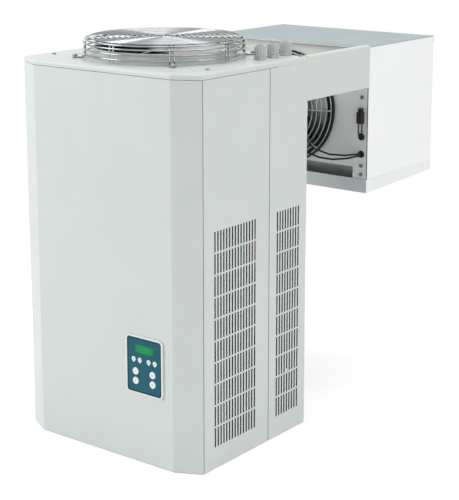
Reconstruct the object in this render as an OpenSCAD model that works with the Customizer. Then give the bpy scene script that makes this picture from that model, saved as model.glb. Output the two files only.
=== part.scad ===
// Monoblock refrigeration unit that straddles a cold room wall.
// The condensing unit hangs outside, the evaporator hangs inside, and a neck joins them through
// a cut in the wall. Millimetres. X runs to the right, Y into the room, Z up. The origin is the
// middle of the neck's underside, which rests in the cut, over the middle of the wall.

/* [Casing] */
// Width of the condensing unit
unit_w = 424; // [400:2:470]
// Depth of the condensing unit, front to wall
unit_d = 340; // [330:2:380]
// Height of the condensing unit, base to lid
unit_h = 722; // [710:2:780]
// Width that each front chamfer takes from the front face
cham_x = 49; // [40:1:58]
// Depth that each front chamfer takes from the side
cham_y = 25; // [18:1:30]
// Share of the depth at which the seam between the side panels lies
side_share = 0.65; // [0.63:0.005:0.67]
// Thickness of the casing's sheet
sheet_t = 1.2; // [1:0.1:1.6]
// Width of the folded edges inside the casing
fold_w = 13; // [10:1:16]
// Outer radius of the sheet's bends
bend_r = 4; // [2.5:0.5:6]
// Open seam between neighbouring panels
seam_gap = 1.6; // [1:0.2:2.4]
// Height of the lid's skirt
skirt_h = 10; // [8:1:14]
// Rounding of the lid's edge
lid_r = 5; // [3.5:0.5:6]
// Thickness of the base sheet
base_t = 2; // [1.5:0.5:3]
// Height of the base's upturned rim
base_rim = 26; // [20:1:34]

/* [Neck] */
// Thickness of the wall that the neck straddles
wall_t = 100; // [80:5:120]
// Distance between the condensing unit and the evaporator
neck_len = 237; // [225:1:260]
// Height of the neck, from its underside to the lid
saddle_h = 84; // [78:1:95]
// Depth of the channel between the neck plates and the evaporator
end_gap = 19; // [14:1:24]
// Height of the foam plug in the neck
plug_h = 58; // [50:1:64]

/* [Wall fixing] */
// Distance of the wall bolts from the casing's sides
wall_bolt_side = 42; // [30:1:55]
// Distance between the wall bolts up the back
wall_bolt_z = 480; // [440:5:520]
// Distance from the neck's underside down to the upper wall bolts
wall_bolt_drop = 60; // [45:5:90]
// Diameter of the wall bolt holes
wall_bolt_d = 9; // [8:0.5:11]

/* [Side slots] */
// Width of one slot
slot_w = 4; // [3:0.5:5]
// Height of one slot
slot_l = 37; // [30:1:38]
// Columns of slots in a front side panel
front_columns = 15; // [12:1:16]
// Columns of slots in a rear side panel
rear_columns = 9; // [7:1:10]
// Distance from one row of slots to the next
slot_step = 40.4; // [40:0.2:46]
// Height of the lowest slots above the base
slot_foot = 41.5; // [35:0.5:60]
// Height of the slotted field
slot_field = 405; // [300:5:410]
// Plain margin ahead of the front slots
slot_lead = 32.6; // [28:0.2:40]
// Plain margin behind the front slots
slot_trail = 41.8; // [36:0.2:46]
// Plain margin on both sides of the rear slots
slot_inset = 23.9; // [20:0.1:26]

/* [Keypad] */
// Width of the keypad
key_w = 81; // [76:1:90]
// Height of the keypad
key_h = 104; // [98:1:112]
// Thickness of the keypad's plate
key_t = 3; // [2.4:0.2:4]
// Distance from the middle of the unit to the middle of the keypad
key_x = 99; // [90:1:105]
// Height of the keypad's middle above the base
key_rise = 187.8; // [170:1:230]
// Rounding of the keypad's corners
key_r = 6; // [4:0.5:9]
// Diameter of a button
button_d = 13.5; // [11:0.5:15]
// Distance that a button stands proud
button_proud = 1.6; // [1.2:0.1:2.4]
// Distance between the two columns of buttons
button_dx = 40; // [34:1:44]
// Distance between the two rows of buttons
button_dz = 18; // [17:0.5:20]
// Width of the display window
display_w = 43; // [38:1:50]
// Height of the display window
display_h = 15; // [12:1:17]
// Diameter of an indicator's round head
led_d = 9; // [7:0.5:10]

/* [Condenser fan] */
// Distance from the front face to the fan's axis
fan_set = 180; // [172:1:188]
// Diameter of the fan
fan_d = 254; // [230:2:258]
// Air gap between the fan's tips and its ring
fan_tip = 5; // [4:0.5:8]
// Height of the fan ring above the lid
collar_h = 20; // [14:1:22]
// Depth of the fan ring below the lid
collar_drop = 24; // [18:1:30]
// Diameter of the guard
guard_d = 304; // [296:2:312]
// Height of the guard above the lid
guard_h = 39; // [36:1:44]
// Diameter of the guard's ring wire
ring_wire = 3; // [2.4:0.2:3.4]
// Diameter of the guard's spoke wire
spoke_wire = 3.6; // [3:0.2:4.2]
// Distance between neighbouring rings on the guard's top
ring_pitch = 11; // [9:0.5:14]
// Distance between the two wires of one spoke
spoke_pair = 8.5; // [8:0.5:11]
// Distance between the guard's feet across the fan
foot_pcd = 333; // [326:1:340]
// Pitch angle of the blades in degrees
blade_pitch = 22; // [18:1:25]
// Diameter of the fan motor's body
motor_d = 88; // [80:1:94]
// Length of the fan motor's body
motor_l = 58; // [50:1:66]
// Diameter of the fan motors' shafts
shaft_d = 8; // [6:0.5:9]

/* [Evaporator] */
// Step in from the condensing unit's side to the evaporator's side
evap_step = 13.5; // [10:0.5:18]
// Depth of the evaporator
evap_d = 258; // [250:1:290]
// Height of the evaporator's casing
evap_h = 271; // [262:1:300]
// Step down from the lid to the evaporator's top
evap_drop = 6; // [4:0.5:10]
// Width of the front strips that hold the fan plate
strip_w = 34; // [30:1:40]
// Clearance under the fan plate
plate_foot = 23; // [16:1:30]
// Depth of the drip tray at the fan side
tray_deep = 28; // [24:1:34]
// Depth of the drip tray at the room side
tray_shallow = 20; // [16:1:23]
// Thickness of the drip tray's sheet
tray_t = 1.5; // [1:0.1:2]
// Outer diameter of the drain spigot
drain_d = 20; // [16:1:24]
// Length of the drain spigot
drain_l = 28; // [22:1:36]

/* [Evaporator fan] */
// Diameter of the evaporator fan
efan_d = 196; // [180:2:200]
// Distance from the evaporator's top down to the fan's axis
efan_drop = 137; // [130:1:140]
// Diameter of the evaporator fan's guard
eguard_d = 230; // [226:1:236]
// Rise of the guard's dome
eguard_rise = 30; // [24:1:36]
// Diameter of the evaporator fan motor's body
emotor_d = 84; // [76:1:90]
// Length of the evaporator fan motor's body
emotor_l = 52; // [46:1:56]

/* [Coils] */
// Outer diameter of the coil tubes
tube_d = 12; // [9:0.5:13]
// Wall of the coil tubes
tube_wall = 1; // [0.6:0.1:1.4]
// Thickness of a fin
fin_t = 0.5; // [0.4:0.1:0.8]
// Distance between the condenser's fins
cfin_pitch = 8; // [7:0.5:12]
// Distance between the evaporator's fins
efin_pitch = 7; // [6:0.5:10]
// Distance between tubes in the condenser
ctube_pitch = 50; // [46:1:52]
// Distance between tubes in the evaporator
etube_pitch = 46; // [42:1:47]
// Height of the condenser coil
ccoil_h = 76; // [70:1:84]
// Distance from the lid down to the condenser coil
ccoil_drop = 190; // [180:2:196]
// Depth of the evaporator coil
ecoil_d = 104; // [96:2:110]

/* [Compressor] */
// Diameter of the compressor's shell
comp_d = 150; // [140:2:160]
// Height of the compressor's shell
comp_h = 196; // [180:2:215]
// Diameter of the liquid receiver
receiver_d = 76; // [70:1:84]
// Height of the liquid receiver
receiver_h = 170; // [150:2:190]

/* [Pipes and leads] */
// Diameter of the suction pipe
suction_d = 12; // [10:0.5:14]
// Diameter of the hot gas and liquid pipes
liquid_d = 8; // [6:0.5:9]
// Outer diameter of the cable glands' nuts
gland_d = 22; // [20:1:24]
// Bore of the cable glands
gland_bore = 11; // [9:0.5:12]
// Height of the cable glands above the lid
gland_h = 27; // [24:1:30]
// Distance between neighbouring cable glands
gland_pitch = 40; // [36:1:42]
// Diameter of the fan leads
lead_d = 6.5; // [5:0.5:7]

/* [Hidden] */
$fn = 48;

// clearances and overruns
fit = 0.2;          // between pieces that lie on each other
run = 0.4;          // between pieces that move past each other
over = 3;           // overrun of every cut
far = 2 * unit_w;   // reach of the half spaces that round the lid

// places of the main faces
half_w = unit_w / 2;
y_back = -wall_t / 2;
y_front = y_back - unit_d;
y_mid = (y_front + y_back) / 2;
z_top = saddle_h;
z_base = saddle_h - unit_h;
z_skirt = z_top - skirt_h;
z_floor = z_base + base_t;

// chamfered plan of the casing
cham_l = sqrt(cham_x * cham_x + cham_y * cham_y);
function corner_x(i) = half_w - cham_x - i * (cham_l - cham_x) / cham_y;
function corner_y(i) = y_front + cham_y + i * (cham_l - cham_y) / cham_x;
function plan(i) = [
    [-half_w + i, y_back - i], [-half_w + i, corner_y(i)], [-corner_x(i), y_front + i],
    [corner_x(i), y_front + i], [half_w - i, corner_y(i)], [half_w - i, y_back - i]
];
y_seam = corner_y(0);
y_split = y_front + side_share * unit_d;

// a closed outline whose points [x, y, r] are rounded to their radius r
arc_steps = 6;
function unit(v) = v / norm(v);
function arc_points(p, c, n, r) =
    let (u = unit(p - c), v = unit(n - c), half = acos(u * v) / 2,
         reach = min(r / tan(half), norm(p - c) / 2, norm(n - c) / 2),
         m = c + unit(u + v) * reach / cos(half),
         a = c + u * reach - m, b = c + v * reach - m, turn = 180 - 2 * half)
    [for (k = [0:arc_steps]) let (s = k / arc_steps)
        m + (sin((1 - s) * turn) * a + sin(s * turn) * b) / sin(turn)];
function xy(p) = [p[0], p[1]];
function rounded(pts) = let (n = len(pts)) [for (i = [0:n - 1])
    each pts[i][2] > 0
        ? arc_points(xy(pts[(i + n - 1) % n]), xy(pts[i]), xy(pts[(i + 1) % n]), pts[i][2])
        : [xy(pts[i])]];

// a path in space whose inner corners are bent to radius r
function bent(p, r) = let (n = len(p))
    [p[0], for (i = [1:n - 2]) each arc_points(p[i - 1], p[i], p[i + 1], r), p[n - 1]];
function tangent(p, i) = unit(p[min(i + 1, len(p) - 1)] - p[max(i - 1, 0)]);
function carried(n, t) = unit(n - (n * t) * t);
function normals(p, n, i = 0) = i == len(p) ? []
    : let (m = carried(n, tangent(p, i))) concat([m], normals(p, m, i + 1));

// a round bar or pipe that follows a path; up is any direction that the path doesn't start along
module tube(path, d, up, sides = 8) {
    ns = normals(path, up);
    points = [for (i = [0:len(path) - 1], k = [0:sides - 1])
        let (a = 360 * k / sides, t = tangent(path, i))
        path[i] + d / 2 * (cos(a) * ns[i] + sin(a) * cross(t, ns[i]))];
    last = (len(path) - 1) * sides;
    polyhedron(points, concat(
        [[for (k = [0:sides - 1]) k]],
        [[for (k = [sides - 1:-1:0]) last + k]],
        [for (i = [0:len(path) - 2], k = [0:sides - 1])
            let (a = i * sides + k, b = i * sides + (k + 1) % sides)
            [a, a + sides, b + sides, b]]), convexity = 4);
}

// flat sheets: an outline in Y and Z, in X and Z, or in X and Y, with its thickness
module sheet_x(x, t) translate([x, 0, 0]) rotate([90, 0, 90]) linear_extrude(t) children();
module sheet_y(y, t) translate([0, y + t, 0]) rotate([90, 0, 0]) linear_extrude(t) children();
module sheet_z(z, t) translate([0, 0, z]) linear_extrude(t) children();
// a bar along X with an outline in Y and Z
module bar_x(x0, x1) sheet_x(x0, x1 - x0) children();
// an upright or lying cylinder, and a pair of a piece and its mirror image
module post(x, y, z, d, h) translate([x, y, z]) cylinder(d = d, h = h);
module rod_y(x, y, z, d, l) translate([x, y, z]) rotate([-90, 0, 0]) cylinder(d = d, h = l);
module rod_x(x, y, z, d, l) translate([x, y, z]) rotate([0, 90, 0]) cylinder(d = d, h = l);
module both() {
    children();
    mirror([1, 0, 0]) children();
}
module box(low, high) translate(low) cube(high - low);
module rect(low, high) translate(low) square(high - low);
module round_rect(w, h, r) {
    square([w - 2 * r, h], center = true);
    square([w, h - 2 * r], center = true);
    for (sx = [-1, 1], sy = [-1, 1]) translate([sx * (w / 2 - r), sy * (h / 2 - r)]) circle(r);
}

paint = [0.86, 0.88, 0.87];
galvanised = [0.72, 0.75, 0.76];
aluminium = [0.8, 0.82, 0.83];
copper = [0.72, 0.45, 0.3];

// the base: a folded sheet that the panels wrap round, the only piece that touches the ground
panel_lift = 1;     // the panels stop this far above the ground
base_in = sheet_t + fit;
module base_tray() color(galvanised) difference() {
    sheet_z(z_base, base_rim) polygon(plan(base_in));
    sheet_z(z_floor, base_rim) polygon(plan(base_in + base_t));
}

// the front cover: one sheet folded at the two chamfers, with returns at the seams
z_panel = z_base + panel_lift;
z_panel_top = z_skirt - seam_gap / 2;
module front_cover() color(paint) difference() {
    lean = sheet_t * cham_l / cham_y;
    sheet_z(z_panel, z_panel_top - z_panel) polygon(rounded([
        [-half_w, y_seam + sheet_t, 0], [-half_w, y_seam, 0],
        [-corner_x(0), y_front, bend_r], [corner_x(0), y_front, bend_r],
        [half_w, y_seam, 0], [half_w, y_seam + sheet_t, 0],
        [half_w - fold_w, y_seam + sheet_t, 0], [half_w - fold_w, y_seam, 0],
        [half_w - lean, y_seam, 0],
        [corner_x(sheet_t), y_front + sheet_t, bend_r - sheet_t],
        [-corner_x(sheet_t), y_front + sheet_t, bend_r - sheet_t],
        [-half_w + lean, y_seam, 0],
        [-half_w + fold_w, y_seam, 0], [-half_w + fold_w, y_seam + sheet_t, 0]
    ]));
    translate([key_x, 0, z_key]) sheet_y(y_front - over, 2 * over)
        square([key_w - 2 * key_lap, key_h - 2 * key_lap], center = true);
    // the returns stop above the base's rim
    both() box([half_w - fold_w - over, y_seam, z_panel - over],
        [half_w - sheet_t, y_seam + over, z_base + base_rim + fit]);
}

// the lid: a sheet drawn down all round, its edge rounded, with the fan's hole and three gland holes
cham_turn = atan2(-cham_x, cham_y);
cham_reach = (corner_x(0) * cham_y + unit_d / 2 * cham_x) / cham_l;
module edge_side(reach, turn, i) translate([0, y_mid, 0]) rotate([0, 0, turn])
    translate([0, far, 0]) rotate([90, 0, 0]) linear_extrude(2 * far) polygon(rounded([
        [-far, z_skirt - skirt_h, 0], [reach - i, z_skirt - skirt_h, 0],
        [reach - i, z_top - i, lid_r - i], [-far, z_top - i, 0]]));
module lid_form(i) intersection() {
    edge_side(half_w, 0, i);
    edge_side(half_w, 180, i);
    edge_side(unit_d / 2, 90, i);
    edge_side(unit_d / 2, -90, i);
    edge_side(cham_reach, cham_turn, i);
    edge_side(cham_reach, 180 - cham_turn, i);
}
fan_y = y_front + fan_set;
module top_cover() color(paint) difference() {
    lid_form(0);
    lid_form(sheet_t);
    box([-far, y_front - over, z_skirt - skirt_h - over], [far, y_back + over, z_skirt]);
    post(0, fan_y, z_top - skirt_h, ring_in_d + 2 * ring_t + 2 * fit, 2 * skirt_h);
    for (g = gland_at) post(g[0], g[1], z_top - skirt_h, gland_stem_d + 2 * fit, 2 * skirt_h);
    for (s = concat(foot_at, lid_screw_at))
        post(s[0], s[1], z_top - skirt_h, screw_d + 2 * fit, 2 * skirt_h);
}

// the slotted fields: upright slots in columns spread over the room, and in as many rows as fit
slot_gap = slot_step - slot_l;
slot_rows = floor((slot_field + slot_gap) / slot_step);
module slots(y0, room, columns) {
    pitch = (room - slot_w) / (columns - 1);
    for (c = [0:columns - 1], r = [0:slot_rows - 1])
        translate([y0 + c * pitch, z_base + slot_foot + r * slot_step]) square([slot_w, slot_l]);
}

// a front side panel: a flat slotted sheet with a fold along each seam
side_y0 = y_seam + sheet_t + seam_gap;
side_y1 = y_split - seam_gap / 2;
module side_panel() color(paint) {
    sheet_x(half_w - sheet_t, sheet_t) difference() {
        rect([side_y0, z_panel], [side_y1, z_panel_top]);
        slots(y_seam + slot_lead, y_split - y_seam - slot_lead - slot_trail, front_columns);
    }
    for (y = [side_y0, side_y1 - sheet_t])
        box([half_w - fold_w, y, z_panel + base_rim], [half_w - sheet_t, y + sheet_t, z_panel_top]);
}

// a rear side panel: one L-shaped sheet that runs on past the wall as the neck's side
neck_y1 = y_back + neck_len - end_gap;
rear_y0 = y_split + seam_gap / 2;
lid_back = y_back + fit;
module rear_side_panel() color(paint) {
    sheet_x(half_w - sheet_t, sheet_t) difference() {
        polygon([[rear_y0, z_panel], [y_back, z_panel], [y_back, 0], [neck_y1, 0],
            [neck_y1, z_top - bend_r], [lid_back, z_top - bend_r],
            [lid_back, z_panel_top], [rear_y0, z_panel_top]]);
        slots(y_split + slot_inset, y_back - y_split - 2 * slot_inset, rear_columns);
    }
    // fold along the seam, and fold that the back plate is fixed to
    for (y = [rear_y0, y_back - 2 * sheet_t - fit])
        box([half_w - fold_w, y, z_panel + base_rim], [half_w - sheet_t, y + sheet_t, -fold_w]);
    // top edge of the neck, rolled inwards
    translate([0, lid_back, 0]) rotate([90, 0, 0]) mirror([0, 0, 1])
        linear_extrude(neck_y1 - lid_back) {
            difference() {
                translate([half_w - bend_r, z_top - bend_r]) circle(bend_r);
                translate([half_w - bend_r, z_top - bend_r]) circle(bend_r - sheet_t);
                rect([half_w - 3 * bend_r, z_top - 3 * bend_r], [half_w + over, z_top - bend_r]);
                rect([half_w - 3 * bend_r, z_top - 3 * bend_r], [half_w - bend_r, z_top + over]);
            }
            rect([half_w - fold_w, z_top - sheet_t], [half_w - bend_r, z_top]);
        }
    // end fold of the neck, bolted to the channel behind it
    box([half_w - fold_w, neck_y1 - sheet_t, 0], [half_w - sheet_t, neck_y1, z_top - bend_r]);
}

// the back plate, which lies against the wall, with the four wall bolt holes
wall_bolt_at = [for (sx = [-1, 1], k = [0, 1])
    [sx * (half_w - wall_bolt_side), -wall_bolt_drop - k * wall_bolt_z]];
module back_plate() color(galvanised) {
    inner = half_w - sheet_t - fit;
    difference() {
        sheet_y(y_back - sheet_t, sheet_t) rect([-inner, z_panel], [inner, -fit]);
        for (b = wall_bolt_at) rod_y(b[0], y_back - over, b[1], wall_bolt_d, 2 * over);
    }
    // stiffening fold along the top, under the neck's floor
    box([-inner, y_back - fold_w, -fit - sheet_t], [inner, y_back - sheet_t, -fit]);
}

// the neck's floor: a channel between the neck's sides, the face that rests in the wall's cut
neck_in = half_w - sheet_t - fit;
neck_lip = 14;      // upstand of the neck's floor
floor_past = 12;    // how far it runs on behind the wall, clear of the evaporator's fan
floor_lap = fit / 2; // its lip over the back plate's fold lies this much higher than that face
module neck_channel() difference() {
    rect([-neck_in, 0], [neck_in, neck_lip]);
    rect([-neck_in + sheet_t, sheet_t], [neck_in - sheet_t, neck_lip + over]);
}
module neck_floor() color(galvanised) {
    sheet_y(y_back, wall_t + floor_past) neck_channel();
    translate([0, 0, floor_lap]) sheet_y(y_back - fold_w, fold_w + sheet_t) neck_channel();
}

// the foam plug that closes the wall's cut, with a way through for each pipe and for the cables
pipe_z = plug_h / 2;
suction_x = 105;    // places of the pipes and the cable duct across the neck
liquid_x = 135;
duct_x = -90;
duct_d = 24;        // bore of the cable duct
pipe_room = 1;      // clearance round a pipe in the plug
module neck_plug() color([0.93, 0.9, 0.8]) difference() {
    reach = neck_in - sheet_t - fit;
    box([-reach, y_back, sheet_t + fit], [reach, -y_back, plug_h]);
    rod_y(suction_x, y_back - over, pipe_z, suction_d + 2 * pipe_room, wall_t + 2 * over);
    rod_y(liquid_x, y_back - over, pipe_z, liquid_d + 2 * pipe_room, wall_t + 2 * over);
    rod_y(duct_x, y_back - over, pipe_z, duct_d, wall_t + 2 * over);
}

// the channel round the end of the neck: it carries the evaporator, and is open below for the fan's air
y_evap = y_back + neck_len;
module neck_end_channel() color(galvanised) {
    reach = half_evap - sheet_t - fit;
    low = fit;
    high = z_evap_top - sheet_t - fit;
    y0 = neck_y1 + fit;
    y1 = y_evap - fit;
    sheet_y(y0, y1 - y0) difference() {
        rect([-reach, low], [reach, high]);
        rect([-reach + sheet_t, low - over], [reach - sheet_t, high - sheet_t]);
    }
    // ears that the folds of the neck's sides are bolted to
    both() box([reach - fold_w, y0, low], [neck_in, y0 + sheet_t, high - sheet_t]);
}

// places that the lid, the glands and the screws share
screw_d = 4;        // shank of the casing's screws
screw_head_d = 8;
screw_head_h = 2.4;
gland_stem_d = 16;
gland_side = 40;     // distance of the glands from the casing's side
gland_x = half_w - gland_side;
gland_back = 15;     // distance of the last gland from the casing's back
gland_y0 = y_back - gland_back - 2 * gland_pitch;
gland_at = [for (k = [0:2]) [gland_x, gland_y0 + k * gland_pitch]];
foot_at = [for (a = [45, 135, 225, 315])
    [foot_pcd / 2 * cos(a), fan_y + foot_pcd / 2 * sin(a)]];

// the fan ring: a spun collar that stands through the lid, its rim rolled outwards
ring_t = 1.5;
ring_in_d = fan_d + 2 * fan_tip;
ring_flange = 7;    // width of the flange on the lid and of the lower rim
module condenser_fan_ring() color(paint) translate([0, fan_y, 0]) rotate_extrude($fn = 96) {
    r = ring_in_d / 2;
    rect([r, z_top - collar_drop], [r + ring_t, z_top + collar_h - ring_t]);
    rect([r, z_top + fit], [r + ring_t + ring_flange, z_top + fit + ring_t]);
    rect([r, z_top - collar_drop], [r + ring_t + ring_flange, z_top - collar_drop + ring_t]);
    translate([r + ring_t, z_top + collar_h - ring_t]) circle(ring_t, $fn = 24);
}

// the fan guard: rings on top and down the side, welded to paired spokes
weld = 0.02;        // wires that are welded lie this close
hub_ring_r = 18;    // least radius of the innermost ring
spoke_in = (spoke_pair / 2 * cos(22.5) + 0.6 * spoke_wire) / sin(22.5);
guard_r = (guard_d - ring_wire) / 2;
guard_z = z_top + guard_h - ring_wire / 2;
spoke_z = guard_z - (ring_wire + spoke_wire) / 2 - weld;
ring_count = floor((guard_r - hub_ring_r) / ring_pitch);
side_rings = 3;
spoke_bend = 2 * spoke_wire;
side_step = 9.5;    // distance between the rings down the side
leg_rise = 3;       // the rods' bend above the lid
leg_z = z_top + leg_rise;  // the spokes' lower ends
module wire_ring(r, z, d) translate([0, 0, z]) rotate_extrude($fn = 96)
    translate([r, 0]) circle(d = d, $fn = 16);
module condenser_fan_guard() color([0.82, 0.84, 0.86]) translate([0, fan_y, 0]) {
    touch = (ring_wire + spoke_wire) / 2 + weld;
    leg_r = guard_r - touch;
    // the outermost top ring lies in the spokes' bend
    hug = (spoke_bend + touch) * sqrt(0.5) - spoke_bend;
    wire_ring(leg_r + hug, spoke_z + hug, ring_wire);
    for (k = [1:ring_count]) wire_ring(guard_r - k * ring_pitch, guard_z, ring_wire);
    for (k = [1:side_rings]) wire_ring(guard_r, guard_z - k * side_step, ring_wire);
    for (a = [0:45:315], s = [-1, 1]) rotate([0, 0, a]) translate([0, s * spoke_pair / 2, 0]) {
        reach = sqrt(leg_r * leg_r - spoke_pair * spoke_pair / 4);
        is_foot = a % 90 == 45;
        run_out = foot_pcd / 2 + screw_head_d / 2;
        foot_z = z_top + fit + spoke_wire / 2;
        path = is_foot
            ? [[spoke_in, 0, spoke_z], [reach, 0, spoke_z], [reach, 0, foot_z],
               [run_out, 0, foot_z]]
            : [[spoke_in, 0, spoke_z], [reach, 0, spoke_z], [reach, 0, leg_z]];
        tube(bent(path, spoke_bend), spoke_wire, [0, 1, 0], 6);
    }
    // washers and screws that hold the four feet down
    for (a = [45:90:315]) rotate([0, 0, a]) translate([foot_pcd / 2, 0, 0]) {
        post(0, 0, z_top - 2 * screw_head_h, screw_d, 2 * screw_head_h + spoke_wire + 2 * fit);
        post(0, 0, z_top + spoke_wire + 2 * fit, spoke_pair + spoke_wire, ring_t);
        post(0, 0, z_top + spoke_wire + 2 * fit + ring_t, screw_head_d, screw_head_h);
    }
}

// stamped fan blades: petals cut from a rolled sheet, pitched round a drawn hub
blades = 5;
blade_t = 1.5;
lobe_at_share = 0.66;   // middle of a petal's round lobe, as a share of the fan's radius
lobe_share = 0.38;      // radius of that lobe
stem_share = 0.34;      // width of the petal where it joins the hub
roll_share = 1.1;       // radius that the blade sheet is rolled to
hub_share = 0.27;       // radius of the hub
module petal(r, r_root) intersection() {
    circle(r, $fn = 96);
    difference() {
        union() {
            translate([lobe_at_share * r, 0]) circle(lobe_share * r);
            rect([0, -stem_share * r / 2], [lobe_at_share * r, stem_share * r / 2]);
        }
        circle(r_root);
    }
}
module blade(r, r_root, pitch) intersection() {
    translate([0, 0, -r]) linear_extrude(2 * r) petal(r, r_root);
    rotate([pitch, 0, 0]) translate([0, 0, -roll_share * r]) rotate([0, 90, 0]) difference() {
        cylinder(r = roll_share * r, h = r + over, $fn = 96);
        translate([0, 0, -over]) cylinder(r = roll_share * r - blade_t, h = r + 3 * over, $fn = 96);
        translate([0, -2 * r, -over]) cube([2 * r, 4 * r, r + 3 * over]);
    }
}
// the hub is a cup over the shaft's end; the shaft runs down to depth
hub_up = 8;         // hub's crown above the blades' root line
hub_down = 12;      // hub's skirt below it
hub_t = 2;
boss_d = 18;
module impeller(d, pitch, depth) {
    r = d / 2;
    hub_r = hub_share * r;
    for (k = [0:blades - 1]) rotate([0, 0, 360 * k / blades])
        blade(r, hub_r - hub_t / 2, pitch);
    rotate_extrude() {
        rect([0, hub_up - hub_t], [hub_r - hub_t, hub_up]);
        rect([hub_r - hub_t, -hub_down], [hub_r, hub_up - hub_t]);
        translate([hub_r - hub_t, hub_up - hub_t]) circle(hub_t);
        rect([0, -hub_down], [boss_d / 2, hub_up]);
        rect([0, -depth], [shaft_d / 2, -hub_down]);
    }
}
// a round motor: its body's front face at 0, its bearing boss above, bored for the shaft
motor_boss_d = 26;
motor_boss_h = 6;
bearing_gap = 0.05; // running clearance of the shaft
bearing_depth = 24;
module fan_motor(d, l) {
    difference() {
        rotate_extrude() {
            rect([0, -l], [d / 2 - motor_boss_h, 0]);
            rect([0, -l + motor_boss_h], [d / 2, -motor_boss_h]);
            for (z = [-motor_boss_h, motor_boss_h - l])
                translate([d / 2 - motor_boss_h, z]) circle(motor_boss_h);
            rect([0, 0], [motor_boss_d / 2, motor_boss_h]);
        }
        translate([0, 0, -bearing_depth]) cylinder(d = shaft_d + 2 * bearing_gap,
            h = bearing_depth + motor_boss_h + over);
    }
}

// condenser fan: impeller under the guard, motor on a three-armed bracket under the ring
fan_sink = 20;      // guard's top down to the blades' root line
fan_z = guard_z - fan_sink;
bracket_t = 2.5;
bracket_w = 22;
bracket_z = z_top - collar_drop - fit - bracket_t;
motor_z = bracket_z - fit;
module condenser_fan_blades() color(aluminium) translate([0, fan_y, fan_z])
    impeller(fan_d, blade_pitch, fan_z - motor_z + bearing_depth - fit);
module condenser_fan_motor() color([0.2, 0.2, 0.22]) translate([0, fan_y, motor_z])
    fan_motor(motor_d, motor_l);
module condenser_fan_bracket() color(galvanised) translate([0, fan_y, bracket_z])
    linear_extrude(bracket_t) difference() {
        union() {
            circle(d = motor_d);
            for (a = [90, 210, 330]) rotate(a)
                rect([0, -bracket_w / 2], [ring_in_d / 2 + ring_t + ring_flange, bracket_w / 2]);
        }
        circle(d = motor_boss_d + 2 * fit);
    }

// a coil of two rows of tubes: tubes along X, columns along Y, rows in Z, joined by return bends
coil_stub = 6;      // straight end of a tube outside the end plate
end_t = 1.5;
hole_room = 0.15;   // clearance of a tube in a fin
module tube_end() difference() {
    circle(d = tube_d);
    circle(d = tube_d - 2 * tube_wall);
}
function column_at(c, n, pitch) = (c - (n - 1) / 2) * pitch;
module coil_tubes(n, pitch, row, half) {
    reach = half + coil_stub;
    for (c = [0:n - 1], s = [-1, 1]) translate([-reach, column_at(c, n, pitch), s * row / 2])
        rotate([90, 0, 90]) linear_extrude(2 * reach) tube_end();
    for (c = [0:n - 1]) translate([reach + weld, column_at(c, n, pitch), 0]) rotate([90, 90, 0])
        rotate_extrude(angle = 180) translate([row / 2, 0]) tube_end();
    for (c = [0:n - 2])
        translate([-reach - weld, column_at(c + 0.5, n, pitch), (c % 2 == 0 ? 1 : -1) * row / 2])
            rotate([0, 0, 90]) rotate_extrude(angle = 180) translate([pitch / 2, 0]) tube_end();
}
module coil_plate(n, pitch, row, depth, height) difference() {
    square([depth, height], center = true);
    for (c = [0:n - 1], s = [-1, 1]) translate([column_at(c, n, pitch), s * row / 2])
        circle(d = tube_d + 2 * hole_room);
}
module coil_fins(n, pitch, row, depth, height, half, step) {
    count = floor((2 * half - step) / step);
    for (k = [0:count - 1]) translate([(k - (count - 1) / 2) * step - fin_t / 2, 0, 0])
        rotate([90, 0, 90]) linear_extrude(fin_t) coil_plate(n, pitch, row, depth, height);
}
module coil_ends(n, pitch, row, depth, height, half)
    both() translate([half - end_t, 0, 0]) rotate([90, 0, 90]) linear_extrude(end_t)
        coil_plate(n, pitch, row, depth, height);

// condenser: a flat coil under the fan, on feet that rest on the side panels' folds
lane_gap = 4;       // clear space between the pipes and the folds
pipe_lane = fold_w + suction_d / 2 + lane_gap;     // pipes' distance ahead of the wall
coil_front = 28;    // coil's distance behind the front face
ccoil_y0 = y_front + coil_front;
ccoil_gap = 9;      // clear space between the coil and the pipes
ccoil_y1 = y_back - pipe_lane - suction_d / 2 - ccoil_gap;
ccoil_d = ccoil_y1 - ccoil_y0;
ccoil_y = (ccoil_y0 + ccoil_y1) / 2;
ccoil_z = z_top - ccoil_drop - ccoil_h / 2;
ccolumns = floor(ccoil_d / ctube_pitch);
crow = ccoil_h / 2;
chalf = half_w - fold_w - run - coil_stub - (ctube_pitch + tube_d) / 2;
coil_foot = 30;     // length of a foot
module condenser_fins() color(aluminium) translate([0, ccoil_y, ccoil_z])
    coil_fins(ccolumns, ctube_pitch, crow, ccoil_d, ccoil_h, chalf, cfin_pitch);
module condenser_tubes() color(copper) translate([0, ccoil_y, ccoil_z])
    coil_tubes(ccolumns, ctube_pitch, crow, chalf);
module condenser_end_plates() color(galvanised) {
    translate([0, ccoil_y, ccoil_z])
        coil_ends(ccolumns, ctube_pitch, crow, ccoil_d, ccoil_h, chalf);
    both() for (y = [side_y0, y_split - coil_foot / 2])
        box([chalf, y, ccoil_z - ccoil_h / 2],
            [half_w - fold_w - fit, y + coil_foot, ccoil_z - ccoil_h / 2 + end_t]);
}

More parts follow.
